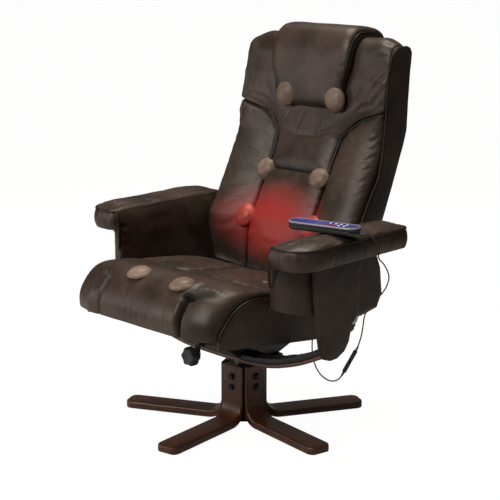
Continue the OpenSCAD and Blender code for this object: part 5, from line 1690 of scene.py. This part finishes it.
def surface_point(obj, x, y=None, z=None):
    """Where a ray meets a pad: straight down at (x, y), or straight back at (x, z)."""
    if z is None:
        origin, way = Vector((x * MM, y * MM, 1.0)), Vector((0, 0, -1))
    else:
        origin, way = Vector((x * MM, -1.0, z * MM)), Vector((0, 1, 0))
    hit, spot, normal, _ = obj.ray_cast(origin, way)
    if not hit:
        raise RuntimeError(f"nothing under the disc at {x}, {y}, {z}")
    return np.array(spot) / MM, np.array(normal)


DISC_SPOTS = [("seat_cushion", -60, -304), ("seat_cushion", 100, -304),
              ("bolster_left", -130, 524), ("bolster_right", 120, 524), ("bolster_left", -117, 645),
              ("lower_pad", 84, 643), ("headrest", -75, 851), ("headrest", 101, 848)]


def build_discs():
    """Shallow domes over the massage motors of seat, lumbar, middle and head."""
    for number, (pad, x, second) in enumerate(DISC_SPOTS):
        on_seat = pad == "seat_cushion"
        pad_piece = bpy.data.objects[pad + "_cover"]
        if on_seat:
            point, normal = surface_point(pad_piece, x, y=second)
            normal = np.array([0.0, -0.12, 1.0])
        else:
            point, normal = surface_point(pad_piece, x, z=second)
            s = (point[2] - BACK["base"]) / BACK["rise"]
            slope = (face_y(s + 0.02) - face_y(s - 0.02)) / (BACK["rise"] * 0.04)
            normal = np.array([0.0, -1.0, slope]) + 0.5 * unit(normal * (0.25, 1, 1))
        disc = disc_mesh(f"massage_disc_{number + 1}", point, normal)
        # The two lumbar discs take the painted red glow
        coat = "warm_disc" if number in (2, 3) else "disc"
        place(disc, "seat" if on_seat else "back", "pad_leather", finish(coat))


# Stage

def aimed(obj, where, aim):
    """Puts a lamp or camera somewhere, looking at a point."""
    obj.location = where
    obj.rotation_mode = "QUATERNION"
    obj.rotation_quaternion = (Vector(aim) - Vector(where)).to_track_quat("-Z", "Y")
    return obj


def add_area(name, where, aim, side, power, colour):
    """Square lamp that shines from one point at another."""
    lamp = bpy.data.lights.new(name, "AREA")
    lamp.shape = "RECTANGLE"
    lamp.size = lamp.size_y = side
    lamp.energy = power
    lamp.color = colour
    aimed(new_object(name, lamp), where, aim)


def build_stage():
    """Camera, pale floor with a curved backdrop, studio lamps and an even white world."""
    scene = bpy.context.scene
    scene.view_settings.view_transform = "Standard"
    lens = bpy.data.cameras.new("Camera")
    lens.sensor_width, lens.lens = 36.0, 99.9
    lens.clip_start, lens.clip_end = 0.05, 100
    scene.camera = aimed(new_object("Camera", lens), (2.5441, -2.4690, 1.2828), (0.0112, 0.0114, 0.4643))

    # Floor that curves up into a wall far behind: distance from the chair and height, in metres
    turn = math.radians(45.6)
    back, side = (-math.sin(turn), math.cos(turn)), (math.cos(turn), math.sin(turn))
    curve = [(4.5 + 2 * math.sin(q), 2 - 2 * math.cos(q)) for q in np.linspace(0.1, 1.5, 12)]
    profile = [(-9, 0), (-4, 0), (0, 0), (3, 0), (4.5, 0), *curve, (6.55, 6), (6.6, 12)]
    rows = np.array([[(back[0] * a + side[0] * w, back[1] * a + side[1] * w, z)
                      for w in np.linspace(-14, 14, 9)] for a, z in profile]) / MM
    floor = make_mesh("studio_floor", rows, grid_quads(*rows.shape[:2]), turn=False)
    made = bpy.data.materials.new("PaleFloor")
    made.use_nodes = True
    tree = made.node_tree
    tree.nodes.clear()
    mottle = noise(tree, object_place(tree), 3.0, 3.0)
    tone = mix(tree, mottle, (0.60, 0.59, 0.58, 1), (0.64, 0.63, 0.62, 1))
    matte = node(tree, "BsdfPrincipled", {}, {"Base Color": tone, "Roughness": 0.9,
                                              "Specular IOR Level": 0.1})
    glow = node(tree, "Emission", {}, {"Color": (1, 1, 1, 1), "Strength": 1.12})
    seen = node(tree, "LightPath", output="Is Camera Ray")
    shader = node(tree, "MixShader", {}, {0: seen * 0.86, 1: matte, 2: glow})
    node(tree, "OutputMaterial", {}, {"Surface": shader})
    floor.data.materials.append(made)

    # World: white to the camera, dim to the chair
    world = bpy.data.worlds.new("Studio")
    scene.world = world
    world.use_nodes = True
    tree = world.node_tree
    tree.nodes.clear()
    seen = node(tree, "LightPath", output="Is Camera Ray")
    sky = node(tree, "Background", {}, {"Color": (1, 1, 1, 1), "Strength": seen * 0.94 + 0.06})
    node(tree, "OutputWorld", {}, {"Surface": sky})

    size = scene.armchair_sizes
    add_area("KeyLamp", (0.0, -3.0, 2.8), (0, -0.1, 0.5), 1.8, size.key_power, (1, 0.95, 0.89))
    add_area("TopLamp", (-0.3, 0.4, 3.5), (0, 0.1, 0.8), 1.8, size.top_power, (1, 0.92, 0.82))
    add_area("LowLamp", (-2.4, -2.6, 0.9), (0, 0, 0.4), 1.2, size.fill_power, (1, 0.96, 0.93))


# Add-on parts

def length_property(label, about, default):
    """A size of the sidebar, in metres."""
    return bpy.props.FloatProperty(name=label, description=about, default=default, min=0, unit="LENGTH")


def power_property(label, about, default):
    """A lamp's power in the sidebar."""
    return bpy.props.FloatProperty(name=label, description=about, default=default, min=0, unit="POWER")


class ArmchairSizes(bpy.types.PropertyGroup):
    """Sizes of trim and discs, strength of the cloth's swelling, and lamp powers."""
    disc_radius: length_property("Disc radius", "Radius of the domes over the motors", 0.027)
    disc_height: length_property("Disc height", "Height of the domes over the motors", 0.013)
    edge_piping: length_property("Edge piping", "Radius of the piping along the panels", 0.0026)
    bolster_piping: length_property("Bolster piping", "Radius of the piping along the bolsters", 0.0042)
    headrest_piping: length_property("Headrest piping", "Radius of the headrest's piping", 0.0022)
    arm_piping: length_property("Arm piping", "Radius of the piping round the arm pads", 0.0031)
    cord_diameter: length_property("Cord diameter", "Diameter of both cords", 0.0036)
    cloth_swell: length_property("Cloth swell", "Most that the cloth of a pad may swell", 0.004)
    cloth_pressure: bpy.props.FloatProperty(name="Cloth pressure", description="Air pressure inside a pad",
                                            default=4.0, min=0)
    key_power: power_property("Key lamp", "Power of the front lamp", 94.0)
    top_power: power_property("Top lamp", "Power of the lamp overhead", 100.0)
    fill_power: power_property("Fill lamp", "Power of the low lamp at the chair's right hand", 22.0)


def colour_property(label, about, default):
    """A colour of the sidebar."""
    return bpy.props.FloatVectorProperty(name=label, description=about, default=default, size=3,
                                         min=0, max=1, subtype="COLOR")


class ArmchairColours(bpy.types.PropertyGroup):
    """Colours of leather, wood and handset."""
    leather: colour_property("Leather", "Colour of the upholstery", (0.0375, 0.0243, 0.0180))
    disc: colour_property("Discs", "Colour of the domes over the motors", (0.165, 0.112, 0.086))
    # Colour of the painted red glow over the lumbar zone
    glow: colour_property("Painted glow", "Colour of the warmed lumbar zone", (0.30, 0.022, 0.02))
    wood_deep: colour_property("Wood, deep", "Dark grain of the legs", (0.015, 0.0042, 0.0022))
    wood_bright: colour_property("Wood, bright", "Bright grain of the legs", (0.112, 0.035, 0.0098))
    rim: colour_property("Handset rim", "Colour of the handset's rim", (0.24, 0.23, 0.25))
    keypad: colour_property("Keypad", "Colour of the handset's keypad", (0.040, 0.048, 0.26))


class ARMCHAIR_OT_stage(bpy.types.Operator):
    """Builds camera, floor, lamps and world"""
    bl_idname = "armchair.build_stage"
    bl_label = "Build stage"

    def execute(self, context):
        build_stage()
        return {"FINISHED"}


class ARMCHAIR_OT_cords(bpy.types.Operator):
    """Builds both cords with their connector"""
    bl_idname = "armchair.build_cords"
    bl_label = "Build cords"

    def execute(self, context):
        build_cords()
        return {"FINISHED"}


class ARMCHAIR_OT_paint(bpy.types.Operator):
    """Gives the carried-over nodes their finishes"""
    bl_idname = "armchair.paint_frame"
    bl_label = "Paint frame"

    def execute(self, context):
        paint_frame()
        return {"FINISHED"}


class ARMCHAIR_OT_legs(bpy.types.Operator):
    """Builds the bent legs and their bolts"""
    bl_idname = "armchair.build_legs"
    bl_label = "Build legs"

    def execute(self, context):
        build_legs()
        return {"FINISHED"}


class ARMCHAIR_OT_crossbar(bpy.types.Operator):
    """Builds the crossbar in two layers"""
    bl_idname = "armchair.build_crossbar"
    bl_label = "Build crossbar"

    def execute(self, context):
        build_crossbar()
        return {"FINISHED"}


class ARMCHAIR_OT_knob(bpy.types.Operator):
    """Builds the tension knob"""
    bl_idname = "armchair.build_knob"
    bl_label = "Build knob"

    def execute(self, context):
        build_knob()
        return {"FINISHED"}


class ARMCHAIR_OT_arms(bpy.types.Operator):
    """Builds arm pads, boxes and leaves"""
    bl_idname = "armchair.build_arms"
    bl_label = "Build arms"

    def execute(self, context):
        build_arms()
        return {"FINISHED"}


class ARMCHAIR_OT_seat(bpy.types.Operator):
    """Builds seat cushion, piping and side panels"""
    bl_idname = "armchair.build_seat"
    bl_label = "Build seat"

    def execute(self, context):
        build_seat()
        return {"FINISHED"}


class ARMCHAIR_OT_back(bpy.types.Operator):
    """Builds the pads and piping of the back"""
    bl_idname = "armchair.build_back"
    bl_label = "Build back"

    def execute(self, context):
        build_back()
        return {"FINISHED"}


class ARMCHAIR_OT_headrest(bpy.types.Operator):
    """Builds the headrest pillow"""
    bl_idname = "armchair.build_headrest"
    bl_label = "Build headrest"

    def execute(self, context):
        build_headrest()
        return {"FINISHED"}


class ARMCHAIR_OT_shell(bpy.types.Operator):
    """Builds side and rear panels of the back"""
    bl_idname = "armchair.build_back_shell"
    bl_label = "Build back shell"

    def execute(self, context):
        build_back_shell()
        return {"FINISHED"}


class ARMCHAIR_OT_discs(bpy.types.Operator):
    """Builds the domes over the massage motors"""
    bl_idname = "armchair.build_discs"
    bl_label = "Build discs"

    def execute(self, context):
        build_discs()
        return {"FINISHED"}


class ARMCHAIR_OT_handset(bpy.types.Operator):
    """Builds the handset with its keypad"""
    bl_idname = "armchair.build_handset"
    bl_label = "Build handset"

    def execute(self, context):
        build_handset()
        return {"FINISHED"}


OPERATORS = [ARMCHAIR_OT_stage, ARMCHAIR_OT_cords, ARMCHAIR_OT_paint,
             ARMCHAIR_OT_legs, ARMCHAIR_OT_crossbar, ARMCHAIR_OT_knob,
             ARMCHAIR_OT_arms, ARMCHAIR_OT_seat, ARMCHAIR_OT_back,
             ARMCHAIR_OT_headrest, ARMCHAIR_OT_shell, ARMCHAIR_OT_discs,
             ARMCHAIR_OT_handset]


class ARMCHAIR_PT_sidebar(bpy.types.Panel):
    """Buttons that build the armchair."""
    bl_label = "Armchair"
    bl_space_type = "VIEW_3D"
    bl_region_type = "UI"
    bl_category = "Armchair"

    def draw(self, context):
        for made in OPERATORS:
            self.layout.operator(made.bl_idname)
        for group in (context.scene.armchair_sizes, context.scene.armchair_colours):
            for key in group.__annotations__:
                self.layout.prop(group, key)


CLASSES = [ArmchairSizes, ArmchairColours, *OPERATORS, ARMCHAIR_PT_sidebar]


def register():
    """Makes the buttons, sizes and colours known to Blender."""
    for made in CLASSES:
        bpy.utils.register_class(made)
    bpy.types.Scene.armchair_sizes = bpy.props.PointerProperty(type=ArmchairSizes)
    bpy.types.Scene.armchair_colours = bpy.props.PointerProperty(type=ArmchairColours)


def unregister():
    """Takes them away again."""
    del bpy.types.Scene.armchair_colours
    del bpy.types.Scene.armchair_sizes
    for made in reversed(CLASSES):
        bpy.utils.unregister_class(made)


def main():
    """Builds everything in order."""
    register()
    for made in OPERATORS:
        group, name = made.bl_idname.split(".")
        getattr(getattr(bpy.ops, group), name)()


if __name__ == "__main__":
    main()
